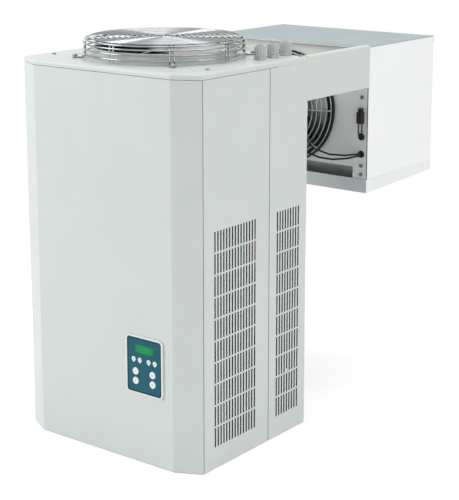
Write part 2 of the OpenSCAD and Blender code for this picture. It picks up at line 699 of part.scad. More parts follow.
// compressor: a welded shell with its foot plate and pipe stubs, on four rubber mounts
comp_x = -70;
comp_front = 150;    // distance of the compressor's axis from the front
comp_y = y_front + comp_front;
mount_h = 22;
mount_d = 26;
mount_step = 112;   // distance between the mounts
stud_d = 8;
plate_t = 3;
plate_edge = 2;     // the plate's edge round its mounts
plate_side = mount_step + mount_d + 2 * plate_edge;
plate_z = z_floor + mount_h + 2 * fit;
comp_z = plate_z + plate_t;
comp_top = comp_z + comp_h;
knuckle_share = 0.4;    // rounding of the shell's ends, as a share of its radius
stub_l = 14;
stub_at = -30;      // hot gas stub's place on the shell's top
suction_z = comp_z + comp_h / 2;
mount_at = [for (sx = [-1, 1], sy = [-1, 1]) [comp_x + sx * mount_step / 2, comp_y + sy * mount_step / 2]];
module drum(d, z0, z1, k) rotate_extrude() {
    rect([0, z0], [d / 2 - k, z1]);
    rect([0, z0 + k], [d / 2, z1 - k]);
    for (z = [z0 + k, z1 - k]) translate([d / 2 - k, z]) circle(k);
}
module compressor() color([0.12, 0.12, 0.13]) {
    knuckle = knuckle_share * comp_d / 2;
    difference() {
        box([comp_x - plate_side / 2, comp_y - plate_side / 2, plate_z],
            [comp_x + plate_side / 2, comp_y + plate_side / 2, comp_z]);
        for (m = mount_at) post(m[0], m[1], plate_z - over, stud_d + 2 * run, plate_t + 2 * over);
    }
    translate([comp_x, comp_y, 0]) {
        drum(comp_d, comp_z, comp_top, knuckle);
        translate([0, 0, suction_z + stub_l]) cylinder(d = comp_d + 2 * plate_t, h = plate_t);
        translate([stub_at, 0, comp_top - plate_t]) cylinder(d = 1.5 * liquid_d, h = stub_l + plate_t);
    }
    rod_x(comp_x + comp_d / 2 - plate_t, comp_y, suction_z, 1.3 * suction_d, stub_l + plate_t);
}
module compressor_mounts() color([0.1, 0.1, 0.1]) for (m = mount_at) {
    post(m[0], m[1], z_floor + fit, mount_d, mount_h);
    post(m[0], m[1], z_floor + fit + mount_h, stud_d, plate_t + 3 * fit + plate_t);
    post(m[0], m[1], comp_z + fit, 2 * stud_d, plate_t);
}
terminal_w = 56;
terminal_h = 74;
terminal_d = 36;
module compressor_terminal_box() color([0.15, 0.15, 0.16]) difference() {
    y = comp_y - comp_d / 2;
    box([comp_x - terminal_w / 2, y - terminal_d, suction_z - terminal_h / 2],
        [comp_x + terminal_w / 2, y + terminal_d, suction_z + stub_l - 2 * fit]);
    post(comp_x, comp_y, comp_z, comp_d + 2 * fit, comp_h);
}

// receiver and filter drier, one over the other in the right rear corner
receiver_side = 82; // distance of the receiver's axis from the casing's side
receiver_x = half_w - receiver_side;
receiver_back = 75;  // distance of the receiver's axis from the wall
receiver_y = y_back - receiver_back;
receiver_step = 30; // distance between its two pipes
receiver_z = z_floor + fit;
receiver_top = receiver_z + receiver_h;
drier_d = 32;
drier_l = 110;
drier_rise = 26;     // room for the bend between receiver and drier
drier_z = receiver_top + stub_l + drier_rise;
drier_x = receiver_x + receiver_step / 2;
module liquid_receiver() color([0.16, 0.16, 0.17]) {
    translate([receiver_x, receiver_y, 0])
        drum(receiver_d, receiver_z, receiver_top, receiver_d / 4);
    for (s = [-1, 1])
        post(receiver_x + s * receiver_step / 2, receiver_y, receiver_top - receiver_d / 4,
            1.5 * liquid_d, stub_l + receiver_d / 4);
}
module filter_drier() color(copper) translate([drier_x, receiver_y, drier_z]) rotate_extrude()
    polygon([[0, 0], [liquid_d * 0.75, 0], [liquid_d * 0.75, stub_l], [drier_d / 2, 2 * stub_l],
        [drier_d / 2, drier_l - 2 * stub_l], [liquid_d * 0.75, drier_l - stub_l],
        [liquid_d * 0.75, drier_l], [0, drier_l]]);

// evaporator casing: top, two sides, front frame, fan plate and outlet frame
half_evap = half_w - evap_step;
z_evap_top = z_top - evap_drop;
z_evap_bot = z_evap_top - evap_h;
y_evap_end = y_evap + evap_d;
evap_under = z_evap_top - sheet_t - fit;
top_lip = 12;       // folded edge of the top sheet at the room side
module evaporator_top() color([0.72, 0.75, 0.78]) {
    box([-half_evap, y_evap, z_evap_top - sheet_t], [half_evap, y_evap_end, z_evap_top]);
    box([-half_evap, y_evap_end + fit, z_evap_top - top_lip],
        [half_evap, y_evap_end + fit + sheet_t, z_evap_top]);
    box([-half_evap, y_evap_end, z_evap_top - sheet_t], [half_evap, y_evap_end + fit, z_evap_top]);
}
module evaporator_side() color([0.95, 0.95, 0.95]) box(
    [half_evap - sheet_t, y_evap + sheet_t + fit, z_evap_bot],
    [half_evap, y_evap_end - sheet_t - fit, evap_under]);

efan_z = z_evap_top - efan_drop;
wire_side = 14.5;    // distance of the wires' column from the casing's side
wire_x = half_evap - wire_side;  // column of the plug and its grommets on the right strip
plug_grommet_h = 87; // heights of the two grommets
plug_grommet_z = z_evap_bot + plug_grommet_h;
lead_grommet_h = 51; // above the casing's lower edge
lead_grommet_z = z_evap_bot + lead_grommet_h;
grommet_d = 11;     // hole for a grommet
grommet_rim = 15;
plate_y = y_evap + sheet_t + fit;
module evaporator_front_frame() color([0.76, 0.79, 0.79]) sheet_y(y_evap, sheet_t) difference() {
    rect([-half_evap, z_evap_bot], [half_evap, evap_under]);
    rect([strip_w - half_evap, z_evap_bot - over], [half_evap - strip_w, evap_under - top_lip]);
    for (z = [plug_grommet_z, lead_grommet_z]) translate([wire_x, z]) circle(d = grommet_d);
    for (z = strip_screw_at, s = [-1, 1]) translate([s * strip_screw_x, z]) circle(d = screw_d + 2 * fit);
}
ering_in_d = efan_d + 2 * fan_tip;
ering_w = 15;       // width of the ring's rim on the fan plate
module evaporator_fan_plate() color([0.68, 0.71, 0.71]) sheet_y(plate_y, sheet_t) difference() {
    reach = half_evap - sheet_t - fit;
    rect([-reach, z_evap_bot + plate_foot], [reach, evap_under]);
    translate([0, efan_z]) circle(d = ering_in_d + 2 * ring_t + 2 * fit, $fn = 96);
    translate([suction_x, pipe_z]) circle(d = suction_d + 2 * ring_t);
    translate([liquid_x, pipe_z]) circle(d = liquid_d + 2 * ring_t);
    for (z = [plug_grommet_z, lead_grommet_z]) translate([wire_x, z]) circle(d = grommet_d);
    for (z = strip_screw_at, s = [-1, 1]) translate([s * strip_screw_x, z]) circle(d = screw_d + 2 * fit);
}
module evaporator_outlet_frame() color([0.76, 0.79, 0.79])
    sheet_y(y_evap_end - sheet_t, sheet_t) difference() {
        rect([-half_evap, z_evap_bot], [half_evap, evap_under]);
        rect([fold_w - half_evap, z_evap_bot + fold_w], [half_evap - fold_w, evap_under - fold_w]);
    }

// evaporator fan: black inlet ring, domed guard that carries the motor, impeller behind it
ring_proud = 6;     // ring's rim ahead of the fan plate
ering_y = plate_y - ring_proud;
eguard_r = (eguard_d - ring_wire) / 2;
dome_r = (eguard_r * eguard_r + eguard_rise * eguard_rise) / (2 * eguard_rise);
eguard_y = ering_y - fit - ring_wire / 2;
function dome(r, out = 0) = sqrt((dome_r + out) * (dome_r + out) - r * r) - dome_r + eguard_rise;
module evaporator_fan_ring() color([0.08, 0.08, 0.08]) translate([0, plate_y, efan_z])
    rotate([-90, 0, 0]) rotate_extrude($fn = 96) {
        r = ering_in_d / 2;
        rect([r, -ring_proud + ring_t], [r + ring_t, 4 * ring_proud]);
        rect([r + ring_t, -ring_proud], [r + ering_w - ring_t, -ring_proud + ring_t]);
        translate([r + ring_t, -ring_proud + ring_t]) circle(ring_t, $fn = 24);
        rect([r + ering_w - ring_t, -ring_proud], [r + ering_w, -fit]);
    }
espokes = 8;
einner_r = emotor_d / 2 + spoke_wire;
ering_pitch = 9;    // distance between neighbouring rings on the dome
module evaporator_fan_guard() color([0.82, 0.84, 0.86]) translate([0, eguard_y, efan_z])
    rotate([90, 0, 0]) {
        count = floor((eguard_r - einner_r) / ering_pitch);
        for (k = [0:count]) let (r = eguard_r - k * ering_pitch) wire_ring(r, dome(r), ring_wire);
        // spokes over the rings, from the motor's body to the outermost ring
        r0 = emotor_d / 2 + 3 * fit;
        r1 = eguard_r + ring_wire / 2;
        for (a = [0:360 / espokes:359]) rotate(a)
            tube([for (k = [0:arc_steps]) let (r = r0 + (r1 - r0) * k / arc_steps)
                [r, 0, dome(r, (ring_wire + spoke_wire) / 2 + weld)]], spoke_wire, [0, 1, 0], 6);
    }
motor_out = 14;     // motor's end ahead of the dome's crown
emotor_y = eguard_y - eguard_rise - motor_out + emotor_l;
efan_y = emotor_y + motor_boss_h + hub_down + run;
module evaporator_fan_motor() color([0.14, 0.14, 0.15]) translate([0, emotor_y, efan_z])
    rotate([-90, 0, 0]) fan_motor(emotor_d, emotor_l);
module evaporator_fan_blades() color(aluminium) translate([0, efan_y, efan_z]) rotate([-90, 0, 0])
    impeller(efan_d, blade_pitch, efan_y - emotor_y + bearing_depth - fit);

// evaporator coil: tall, at the room side of the casing
etube_row = 44;     // distance between its two rows of tubes
ecoil_gap = 16;     // distance from the outlet frame
ecoil_y = y_evap_end - ecoil_gap - ecoil_d / 2;
ecoil_foot = 6;      // clearance of the evaporator coil below
ecoil_z0 = z_evap_bot + ecoil_foot;
ecoil_head = 14;     // and above
ecoil_z1 = z_evap_top - ecoil_head;
ecoil_z = (ecoil_z0 + ecoil_z1) / 2;
ecoil_h = ecoil_z1 - ecoil_z0;
ecolumns = floor(ecoil_h / etube_pitch);
ehalf = half_evap - sheet_t - 2 * run - coil_stub - (max(etube_pitch, etube_row) + tube_d) / 2;
module evaporator_coil_place() translate([0, ecoil_y, ecoil_z]) mirror([1, 0, 0]) rotate([90, 0, 0])
    children();
module evaporator_fins() color(aluminium) evaporator_coil_place()
    coil_fins(ecolumns, etube_pitch, etube_row, ecoil_h, ecoil_d, ehalf, efin_pitch);
module evaporator_tubes() color(copper) evaporator_coil_place()
    coil_tubes(ecolumns, etube_pitch, etube_row, ehalf);
module evaporator_end_plates() color(galvanised) {
    evaporator_coil_place() coil_ends(ecolumns, etube_pitch, etube_row, ecoil_h, ecoil_d, ehalf);
    both() for (z = [ecoil_z0, ecoil_z1 - end_t])
        box([ehalf, ecoil_y - coil_foot / 2, z],
            [half_evap - sheet_t - fit, ecoil_y + coil_foot / 2, z + end_t]);
}

// drip tray: folded, its floor falling towards the fan side, hung from tabs inside the casing
tray_lap = 2;       // the tray's reach past the evaporator's box
tray_y0 = y_evap - tray_lap;
tray_y1 = y_evap_end + tray_lap;
tray_top = z_evap_bot - fit;
tab_w = 24;
tab_h = 14;
drain_x = -110;
drain_back = 32;     // distance of the drain behind the fan plate's face
drain_y = y_evap + drain_back;
function tray_floor(y) = tray_top - tray_deep
    + (tray_deep - tray_shallow) * (y - tray_y0) / (tray_y1 - tray_y0);
module drip_tray() color([0.8, 0.81, 0.81]) {
    difference() {
        bar_x(-half_evap, half_evap) polygon([[tray_y0, tray_floor(tray_y0)],
            [tray_y1, tray_floor(tray_y1)], [tray_y1, tray_top], [tray_y0, tray_top]]);
        bar_x(-half_evap + tray_t, half_evap - tray_t) polygon([
            [tray_y0 + tray_t, tray_floor(tray_y0) + tray_t],
            [tray_y1 - tray_t, tray_floor(tray_y1) + tray_t],
            [tray_y1 - tray_t, tray_top + over], [tray_y0 + tray_t, tray_top + over]]);
        post(drain_x, drain_y, tray_top - 2 * tray_deep, drain_d + 2 * fit, 2 * tray_deep);
    }
    both() for (y = [y_evap + tab_w, y_evap_end - 2 * tab_w]) {
        box([half_evap - 2 * sheet_t - fit, y, tray_top - tab_h],
            [half_evap - sheet_t - fit, y + tab_w, tray_top + tab_h]);
    }
}
drain_nut_w = 6;    // width and height of the nut's wall under the tray
drain_nut_h = 4;
module drain_spigot() color([0.3, 0.3, 0.32]) translate([drain_x, drain_y, 0]) rotate_extrude() {
    high = tray_floor(drain_y + drain_d) + tray_t + fit;
    low = tray_floor(drain_y) - drain_l;
    nut = tray_floor(drain_y - drain_d) - fit - drain_nut_h;
    rect([drain_d / 2 - tray_t, low], [drain_d / 2, high + tray_t]);
    rect([drain_d / 2 - tray_t, high], [drain_d / 2 + 3 * tray_t, high + tray_t]);
    rect([drain_d / 2 - tray_t, nut], [drain_d / 2 + drain_nut_w, nut + drain_nut_h]);
}

// pipes: hot gas, condensate, liquid, evaporator feed and suction
pipe_y = y_back - pipe_lane;
side_pipe_gap = 16;  // room beside the coil's stubs for the pipe
side_pipe_x = chalf + coil_stub + side_pipe_gap;
cfirst_y = ccoil_y + column_at(0, ccolumns, ctube_pitch);
clast_y = ccoil_y + column_at(ccolumns - 1, ccolumns, ctube_pitch);
coil_clear = 46;     // height of the pipe's run below the coil
under_coil = ccoil_z - ccoil_h / 2 - coil_clear;
module discharge_pipe() color(copper) tube(bent([
    [comp_x + stub_at, comp_y, comp_top + stub_l + fit], [comp_x + stub_at, comp_y, under_coil],
    [-side_pipe_x, cfirst_y, under_coil], [-side_pipe_x, cfirst_y, ccoil_z - crow / 2],
    [-chalf - coil_stub - fit, cfirst_y, ccoil_z - crow / 2]], 2 * liquid_d), liquid_d, [0, 1, 0]);
module condenser_outlet_pipe() color(copper) tube(bent([
    [-chalf - coil_stub - fit, clast_y, outlet_z], [-side_pipe_x, clast_y, outlet_z],
    [-side_pipe_x, clast_y + stub_l, outlet_z], [-side_pipe_x, clast_y + stub_l, comp_top + 2 * stub_l],
    [receiver_x - receiver_step / 2, receiver_y, comp_top + 2 * stub_l],
    [receiver_x - receiver_step / 2, receiver_y, receiver_top + stub_l + fit]],
    2 * liquid_d), liquid_d, [0, 1, 0]);
outlet_z = ccoil_z + ((ccolumns - 1) % 2 == 0 ? 1 : -1) * crow / 2;
valve_gap_x = 15;    // distance of the valve from the coil's stubs
valve_x = ehalf + coil_stub + valve_gap_x;
valve_gap_y = 28;    // distance of the valve behind the fan plate
valve_y = y_evap + valve_gap_y;
valve_rise = 39;     // height of the valve above the fan's axis
valve_z = efan_z + valve_rise;
valve_l = 36;
valve_d = 20;
module liquid_pipe() color(copper) {
    tube([[drier_x, receiver_y, receiver_top + stub_l + fit], [drier_x, receiver_y, drier_z - fit]],
        liquid_d, [0, 1, 0]);
    tube(bent([[drier_x, receiver_y, drier_z + drier_l + fit], [drier_x, receiver_y, under_coil - 2 * liquid_d],
        [liquid_x, pipe_y, under_coil - 2 * liquid_d], [liquid_x, pipe_y, pipe_z],
        [liquid_x, valve_y, pipe_z], [valve_x, valve_y, pipe_z], [valve_x, valve_y, valve_z + fit]],
        2 * liquid_d), liquid_d, [0, 1, 0]);
}
efirst_z = ecoil_z + column_at(0, ecolumns, etube_pitch);
elast_z = ecoil_z + column_at(ecolumns - 1, ecolumns, etube_pitch);
erear_y = ecoil_y + etube_row / 2;
elast_y = ecoil_y - ((ecolumns - 1) % 2 == 0 ? 1 : -1) * etube_row / 2;
feed_drop = 22;      // drop of the feed pipe below the coil's first tube
feed_z = efirst_z - feed_drop;
module evaporator_feed_pipe() color(copper) tube(bent([
    [valve_x, valve_y, valve_z - valve_l - fit], [valve_x, valve_y, feed_z],
    [valve_x, erear_y, feed_z], [valve_x, erear_y, efirst_z],
    [ehalf + coil_stub + fit, erear_y, efirst_z]], 2 * liquid_d), liquid_d, [0, 1, 0]);
module suction_pipe() color(copper) tube(bent([
    [ehalf + coil_stub + fit, elast_y, elast_z], [valve_x, elast_y, elast_z],
    [valve_x, valve_y + 2 * suction_d, pipe_z], [suction_x, valve_y + 2 * suction_d, pipe_z],
    [suction_x, pipe_y, pipe_z], [suction_x, pipe_y, suction_z],
    [comp_x + comp_d / 2 + 3 * stub_l, pipe_y, suction_z],
    [comp_x + comp_d / 2 + 3 * stub_l, comp_y, suction_z],
    [comp_x + comp_d / 2 + stub_l + fit, comp_y, suction_z]], 1.5 * suction_d), suction_d, [0, 1, 0]);
module expansion_valve() color([0.75, 0.6, 0.3]) {
    post(valve_x, valve_y, valve_z - valve_l, valve_d, valve_l);
    rod_y(valve_x, valve_y + valve_d / 2 - fit, valve_z - valve_l / 2, valve_d / 2, valve_d);
    rod_y(valve_x, valve_y + 1.5 * valve_d - fit, valve_z - valve_l / 2, 1.25 * valve_d, valve_d / 4);
}

// defrost heater: a bent rod on the coil's face at the fan side
heater_d = 8;
module defrost_heater() color([0.45, 0.42, 0.4]) {
    y = ecoil_y - ecoil_d / 2 - heater_d / 2 - fit;
    reach = ehalf - 2 * heater_d;
    tube(bent([[reach, y, efirst_z], [-reach, y, efirst_z], [-reach, y, efirst_z + etube_pitch],
        [reach, y, efirst_z + etube_pitch], [reach, y, efirst_z + 2 * etube_pitch],
        [-reach, y, efirst_z + 2 * etube_pitch]], etube_pitch / 2.1), heater_d, [0, 1, 0]);
}

// electric box behind the keypad, open towards it
box_w = 124;
box_h = 146;
box_d = 56;
z_key = z_base + key_rise;
y_inner = y_front + sheet_t + fit;
module electric_box() color(galvanised) difference() {
    box([key_x - box_w / 2, y_inner, z_key - box_h / 2], [key_x + box_w / 2, y_inner + box_d, z_key + box_h / 2]);
    box([key_x - box_w / 2 + sheet_t, y_inner - over, z_key - box_h / 2 + sheet_t],
        [key_x + box_w / 2 - sheet_t, y_inner + box_d - sheet_t, z_key + box_h / 2 - sheet_t]);
}

// keypad: a teal plate in a pale bezel on the front cover, over a cut-out
key_lap = 6;        // plate's lap on the cover round the cut-out
bezel_w = 2.2;
bezel_proud = 0.8;
button_drop = 12.3; // upper buttons below the plate's middle
led_rise = 10;      // indicators above it
display_rise = 30.7;
led_dx = [-25, -10.5, 10.5, 25];
key_y = y_front - key_t;
button_row = [for (sx = [-1, 1], k = [0, 1]) [sx * button_dx / 2, -button_drop - k * button_dz]];
module on_keypad() translate([key_x, 0, z_key]) children();
drop_steps = 18;
module teardrop(d) polygon([
    for (k = [0:drop_steps]) let (a = 270 * k / drop_steps - 45) d / 2 * [cos(a), sin(a)],
    [0, -d * sqrt(0.5)]]);
module keypad_plate() color([0.12, 0.45, 0.5]) on_keypad() sheet_y(key_y, key_t - fit) difference() {
    round_rect(key_w - 2 * fit, key_h - 2 * fit, key_r);
    for (b = button_row) translate(b) circle(d = button_d + 2 * run);
    for (x = led_dx) translate([x, led_rise]) teardrop(led_d + 2 * fit);
    translate([0, display_rise]) square([display_w + 2 * fit, display_h + 2 * fit], center = true);
}
module keypad_bezel() color([0.93, 0.94, 0.93]) on_keypad()
    sheet_y(key_y - bezel_proud, key_t + bezel_proud - fit) difference() {
        round_rect(key_w + 2 * bezel_w, key_h + 2 * bezel_w, key_r + bezel_w);
        round_rect(key_w, key_h, key_r);
    }
module display_window() color([0.05, 0.25, 0.12]) on_keypad() sheet_y(key_y, key_t - fit)
    translate([0, display_rise]) square([display_w, display_h], center = true);
module indicators() color([0.93, 0.94, 0.93]) on_keypad() for (x = led_dx)
    sheet_y(key_y - fit, key_t) translate([x, led_rise]) teardrop(led_d);

// control board behind the keypad, with a switch under each button
board_back = 7;      // distance of the board behind the front face
board_y = y_front + board_back;
board_t = 1.6;
switch_w = 6;
module control_board() color([0.1, 0.35, 0.18]) on_keypad() {
    sheet_y(board_y, board_t) square([key_w - 3 * key_lap, key_h - 3 * key_lap], center = true);
    for (b = button_row) sheet_y(button_back + travel + fit, board_y - button_back - travel - fit)
        translate(b) square(switch_w, center = true);
    // pillars that hold the board off the keypad's plate
    for (sx = [-1, 1], sz = [-1, 1]) rod_y(sx * (key_w / 2 - 2 * key_lap), y_front,
        sz * (key_h / 2 - 2 * key_lap), switch_w / 2, board_y - y_front);
}

// a button: a domed cap through the plate, with the collar that keeps it in and its plunger
travel = 0.8;       // how far a button goes in
collar_t = 1.2;
button_seat = 1.2;   // the buttons' flange behind the plate's collar
button_back = y_front + fit + collar_t + button_seat;
button_round = 1;
module button(at) color([0.93, 0.94, 0.93]) on_keypad() translate([at[0], 0, at[1]])
    rotate([90, 0, 0]) rotate_extrude() {
        r = button_d / 2;
        tip = button_proud - key_y;
        rect([0, -y_front - fit], [r, tip - button_round]);
        rect([0, -y_front - fit], [r - button_round, tip]);
        translate([r - button_round, tip - button_round]) circle(button_round);
        rect([0, -y_front - fit - collar_t], [r + 2 * run, -y_front - fit]);
        rect([0, -button_back], [switch_w / 2, -y_front - fit]);
    }

// cable glands: threaded body with a hexagon on the lid and a locknut under it, fluted cap nut
gland_hex = 6;
gland_below = 14;
nut_cap = 3;         // height of the domed cap over the flutes
nut_h = gland_h - gland_hex - nut_cap;
hex_share = 1.12;    // hexagon over its corners, of the nut's diameter
cap_share = 0.86;    // foot of the domed cap, of the nut's diameter
locknut_h = 5;
module gland_bore_cut() post(0, 0, z_top - 2 * gland_below, gland_bore, 2 * gland_below + 2 * gland_h);
module cable_glands() color([0.62, 0.64, 0.65]) for (g = gland_at) translate([g[0], g[1], 0])
    difference() {
        union() {
            post(0, 0, z_top - gland_below, gland_stem_d, gland_below + gland_h / 2);
            translate([0, 0, z_top + fit]) cylinder(d = gland_d * hex_share, h = gland_hex, $fn = 6);
            translate([0, 0, z_top - sheet_t - fit - locknut_h])
                cylinder(d = gland_d * hex_share, h = locknut_h, $fn = 6);
        }
        gland_bore_cut();
    }
flutes = 14;
module gland_nuts() color([0.66, 0.68, 0.69]) for (g = gland_at) translate([g[0], g[1], 0])
    difference() {
        translate([0, 0, z_top + 2 * fit + gland_hex]) {
            linear_extrude(nut_h) difference() {
                circle(d = gland_d);
                for (k = [1:flutes]) rotate(360 * k / flutes) translate([gland_d / 2, 0])
                    circle(d = gland_d / 12, $fn = 16);
            }
            cylinder(d1 = gland_d * cap_share, d2 = gland_stem_d, h = gland_h - gland_hex - 2 * fit, $fn = 48);
        }
        post(0, 0, z_top + gland_hex, gland_stem_d + 2 * fit, gland_h / 2 - gland_hex + fit);
        gland_bore_cut();
    }

// screws of the lid and of the evaporator's front strips
lid_screw_side = 28;      // front pair of the lid's screws
lid_screw_front = 75;
lid_screw_corner = 9;     // rear pair, from both edges
lid_screw_at = [for (s = [-1, 1]) each [
    [s * (half_w - lid_screw_side), y_front + lid_screw_front],
    [s * (half_w - lid_screw_corner), y_back - lid_screw_corner]]];
strip_screw_in = 3;       // the screws' distance from the strip's middle line
strip_screw_foot = 9;     // the lowest screw above the box's bottom
strip_screw_step = 18;    // the next one above it
strip_screw_share = 0.62; // the third, of the box's height
strip_screw_drop = 42;    // the fourth below the box's top
strip_screw_x = half_evap - strip_w / 2 + strip_screw_in;
strip_screw_at = [z_evap_bot + strip_screw_foot, z_evap_bot + strip_screw_foot + strip_screw_step,
    z_evap_bot + strip_screw_share * evap_h, z_evap_top - strip_screw_drop];
module casing_screws() color([0.35, 0.36, 0.37]) {
    for (s = lid_screw_at) {
        post(s[0], s[1], z_top - skirt_h, screw_d, skirt_h + 2 * fit);
        post(s[0], s[1], z_top + fit, screw_head_d, screw_head_h);
    }
    for (z = strip_screw_at, s = [-1, 1]) {
        rod_y(s * strip_screw_x, y_evap - 2 * fit, z, screw_d, skirt_h);
        rod_y(s * strip_screw_x, y_evap - fit - screw_head_h, z, screw_head_d, screw_head_h);
    }
}

// plug of the heater on the right strip, its two wires, the grommets and the fan's leads
plug_w = 13;
plug_tall = 24;
plug_deep = 12;
grommet_t = 3;
plug_rise = 28;      // height of the plug above its grommet
plug_z = plug_grommet_z + plug_rise;
wire_d = 2.6;
module heater_plug() {
    box([wire_x - plug_w / 2, y_evap - plug_deep, plug_z],
        [wire_x + plug_w / 2, y_evap - fit, plug_z + plug_tall]);
    box([wire_x - plug_w / 3, y_evap - 0.8 * plug_deep, plug_z + plug_tall],
        [wire_x + plug_w / 3, y_evap - fit, plug_z + 1.3 * plug_tall]);
}
module plug_wires() for (s = [-1, 1])
    tube(bent([[wire_x + s * plug_w / 3, y_evap - plug_deep / 2, plug_z - fit],
        [wire_x + s * plug_w / 3, y_evap - plug_deep / 2, plug_grommet_z + grommet_d],
        [wire_x + s * wire_d / 1.5, y_evap - plug_deep / 2, plug_grommet_z],
        [wire_x + s * wire_d / 1.5, y_evap + plug_deep / 2, plug_grommet_z]], plug_w / 3),
        wire_d, [0, 1, 0], 6);
module grommet(x, y, z, bore) translate([x, y, z]) rotate([-90, 0, 0]) rotate_extrude() {
    rect([bore / 2, -grommet_t], [grommet_rim / 2, -fit]);
    rect([bore / 2, -fit], [grommet_d / 2 - fit, 2 * sheet_t + 2 * fit]);
}
module grommets() {
    grommet(wire_x, y_evap, plug_grommet_z, 3 * wire_d);
    grommet(wire_x, y_evap, lead_grommet_z, lead_d + 2 * fit);
}
module fan_lead()
    tube(bent([[wire_x, y_evap + 8, lead_grommet_z], [wire_x, y_evap - 10, lead_grommet_z],
        [150, y_evap - 13, -152], [108, y_evap - 20, -157], [61, y_evap - 28, -146],
        [40, y_evap - 36, -122], [26, y_evap - 42, -98]], 16), lead_d, [0, 0, 1]);
module wall_side_wiring() color([0.06, 0.06, 0.06]) {
    heater_plug();
    plug_wires();
    grommets();
    fan_lead();
}

base_tray();
front_cover();
mirror([1, 0, 0]) side_panel();  // side_panel_left
side_panel();  // side_panel_right
mirror([1, 0, 0]) rear_side_panel();  // rear_side_panel_left
rear_side_panel();  // rear_side_panel_right
top_cover();
back_plate();
neck_floor();
neck_plug();
neck_end_channel();
condenser_fan_ring();
condenser_fan_guard();
condenser_fan_blades();
condenser_fan_motor();
condenser_fan_bracket();
condenser_fins();
condenser_tubes();
condenser_end_plates();
compressor();
compressor_mounts();
compressor_terminal_box();
liquid_receiver();
filter_drier();
discharge_pipe();
condenser_outlet_pipe();
liquid_pipe();
expansion_valve();
evaporator_feed_pipe();
suction_pipe();
electric_box();
control_board();
keypad_plate();
keypad_bezel();
display_window();
indicators();
button(button_row[0]);  // button_1
button(button_row[1]);  // button_2
button(button_row[2]);  // button_3
button(button_row[3]);  // button_4
cable_glands();
gland_nuts();
casing_screws();
evaporator_top();
mirror([1, 0, 0]) evaporator_side();  // evaporator_side_left
evaporator_side();  // evaporator_side_right
evaporator_front_frame();
evaporator_fan_plate();
evaporator_outlet_frame();
evaporator_fan_ring();
evaporator_fan_guard();
evaporator_fan_blades();
evaporator_fan_motor();
evaporator_fins();
evaporator_tubes();
evaporator_end_plates();
drip_tray();
drain_spigot();
defrost_heater();
wall_side_wiring();
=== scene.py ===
# Looks of the monoblock refrigeration unit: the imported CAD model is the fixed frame, and this file
# dresses it piece by piece, in the order in which the unit is put together. Lengths are in metres.
import math

import bmesh
import bpy
import numpy as np
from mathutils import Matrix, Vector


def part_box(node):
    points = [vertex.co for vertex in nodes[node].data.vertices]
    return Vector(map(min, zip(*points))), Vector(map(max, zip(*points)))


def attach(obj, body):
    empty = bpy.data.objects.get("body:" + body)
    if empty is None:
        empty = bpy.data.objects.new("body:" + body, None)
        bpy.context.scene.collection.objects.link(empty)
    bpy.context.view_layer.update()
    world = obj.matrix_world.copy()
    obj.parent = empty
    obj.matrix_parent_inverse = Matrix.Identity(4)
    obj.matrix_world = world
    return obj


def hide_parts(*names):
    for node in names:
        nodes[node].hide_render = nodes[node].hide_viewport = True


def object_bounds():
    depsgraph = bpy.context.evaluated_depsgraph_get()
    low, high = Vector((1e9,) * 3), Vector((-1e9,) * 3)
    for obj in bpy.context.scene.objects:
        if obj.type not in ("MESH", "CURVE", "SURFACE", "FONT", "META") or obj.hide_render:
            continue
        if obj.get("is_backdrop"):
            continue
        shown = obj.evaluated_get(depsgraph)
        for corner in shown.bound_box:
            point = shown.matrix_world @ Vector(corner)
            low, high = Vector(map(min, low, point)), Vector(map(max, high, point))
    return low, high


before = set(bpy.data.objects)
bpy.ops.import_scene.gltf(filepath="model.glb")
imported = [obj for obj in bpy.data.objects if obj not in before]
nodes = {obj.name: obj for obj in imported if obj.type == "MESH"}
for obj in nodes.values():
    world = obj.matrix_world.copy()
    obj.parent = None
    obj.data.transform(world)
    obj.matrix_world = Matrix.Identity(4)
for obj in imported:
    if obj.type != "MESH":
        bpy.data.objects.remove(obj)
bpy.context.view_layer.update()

# Camera: its place and turn are fitted to the casing's corners in the photograph. The shift is small
# and the camera looks down instead, so that views from other sides stay in frame.
camera_at = (1.6673, -2.1795, 0.4060)
camera_turn = 37.586
camera_pitch = 12.006
focal_px = 1391.9
long_side_px = 500.0
sensor_mm = 36.0
frame_shift = -0.15
nearest = 0.05
camera = bpy.data.objects.new("camera", bpy.data.cameras.new("camera"))
bpy.context.scene.collection.objects.link(camera)
camera.location = camera_at
camera.rotation_euler = (math.radians(90 - camera_pitch), 0, math.radians(camera_turn))
camera.data.sensor_width = sensor_mm
camera.data.lens = sensor_mm * focal_px / long_side_px
camera.data.shift_y = frame_shift
camera.data.clip_start = nearest
bpy.context.scene.camera = camera


# Casing panels: folded steel sheet, powder coated in a pale grey. The coat gives a satin sheen with
# a faint orange peel. The fan's collar is coated with them. All these are CAD nodes.
def linear(code):
    """An sRGB hex colour as linear RGBA, each channel through the sRGB curve."""
    c = np.array([int(code[i:i + 2], 16) for i in (0, 2, 4)]) / 255
    return (*np.where(c <= 0.04045, c / 12.92, ((c + 0.055) / 1.055) ** 2.4), 1.0)


def add(tree, kind, inputs=None, **settings):
    """Adds one shader node: settings are its properties, inputs its sockets' values or links."""
    made = tree.nodes.new(kind)
    for key, value in settings.items():
        setattr(made, key, value)
    for key, value in (inputs or {}).items():
        if isinstance(value, bpy.types.NodeSocket):
            tree.links.new(value, made.inputs[key])
        else:
            made.inputs[key].default_value = value
    return made


def new_material(name, **principled):
    """A material with its Principled shader, and the Object coordinates that its patterns read."""
    made = bpy.data.materials.new(name)
    made.use_nodes = True
    tree = made.node_tree
    shader = tree.nodes["Principled BSDF"]
    for key, value in principled.items():
        shader.inputs[key.replace("_", " ")].default_value = value
    return made, tree, shader, tree.nodes.new("ShaderNodeTexCoord").outputs["Object"]


def per_mm(size):
    """The scale of a pattern whose repeat is size millimetres."""
    return 1000.0 / size


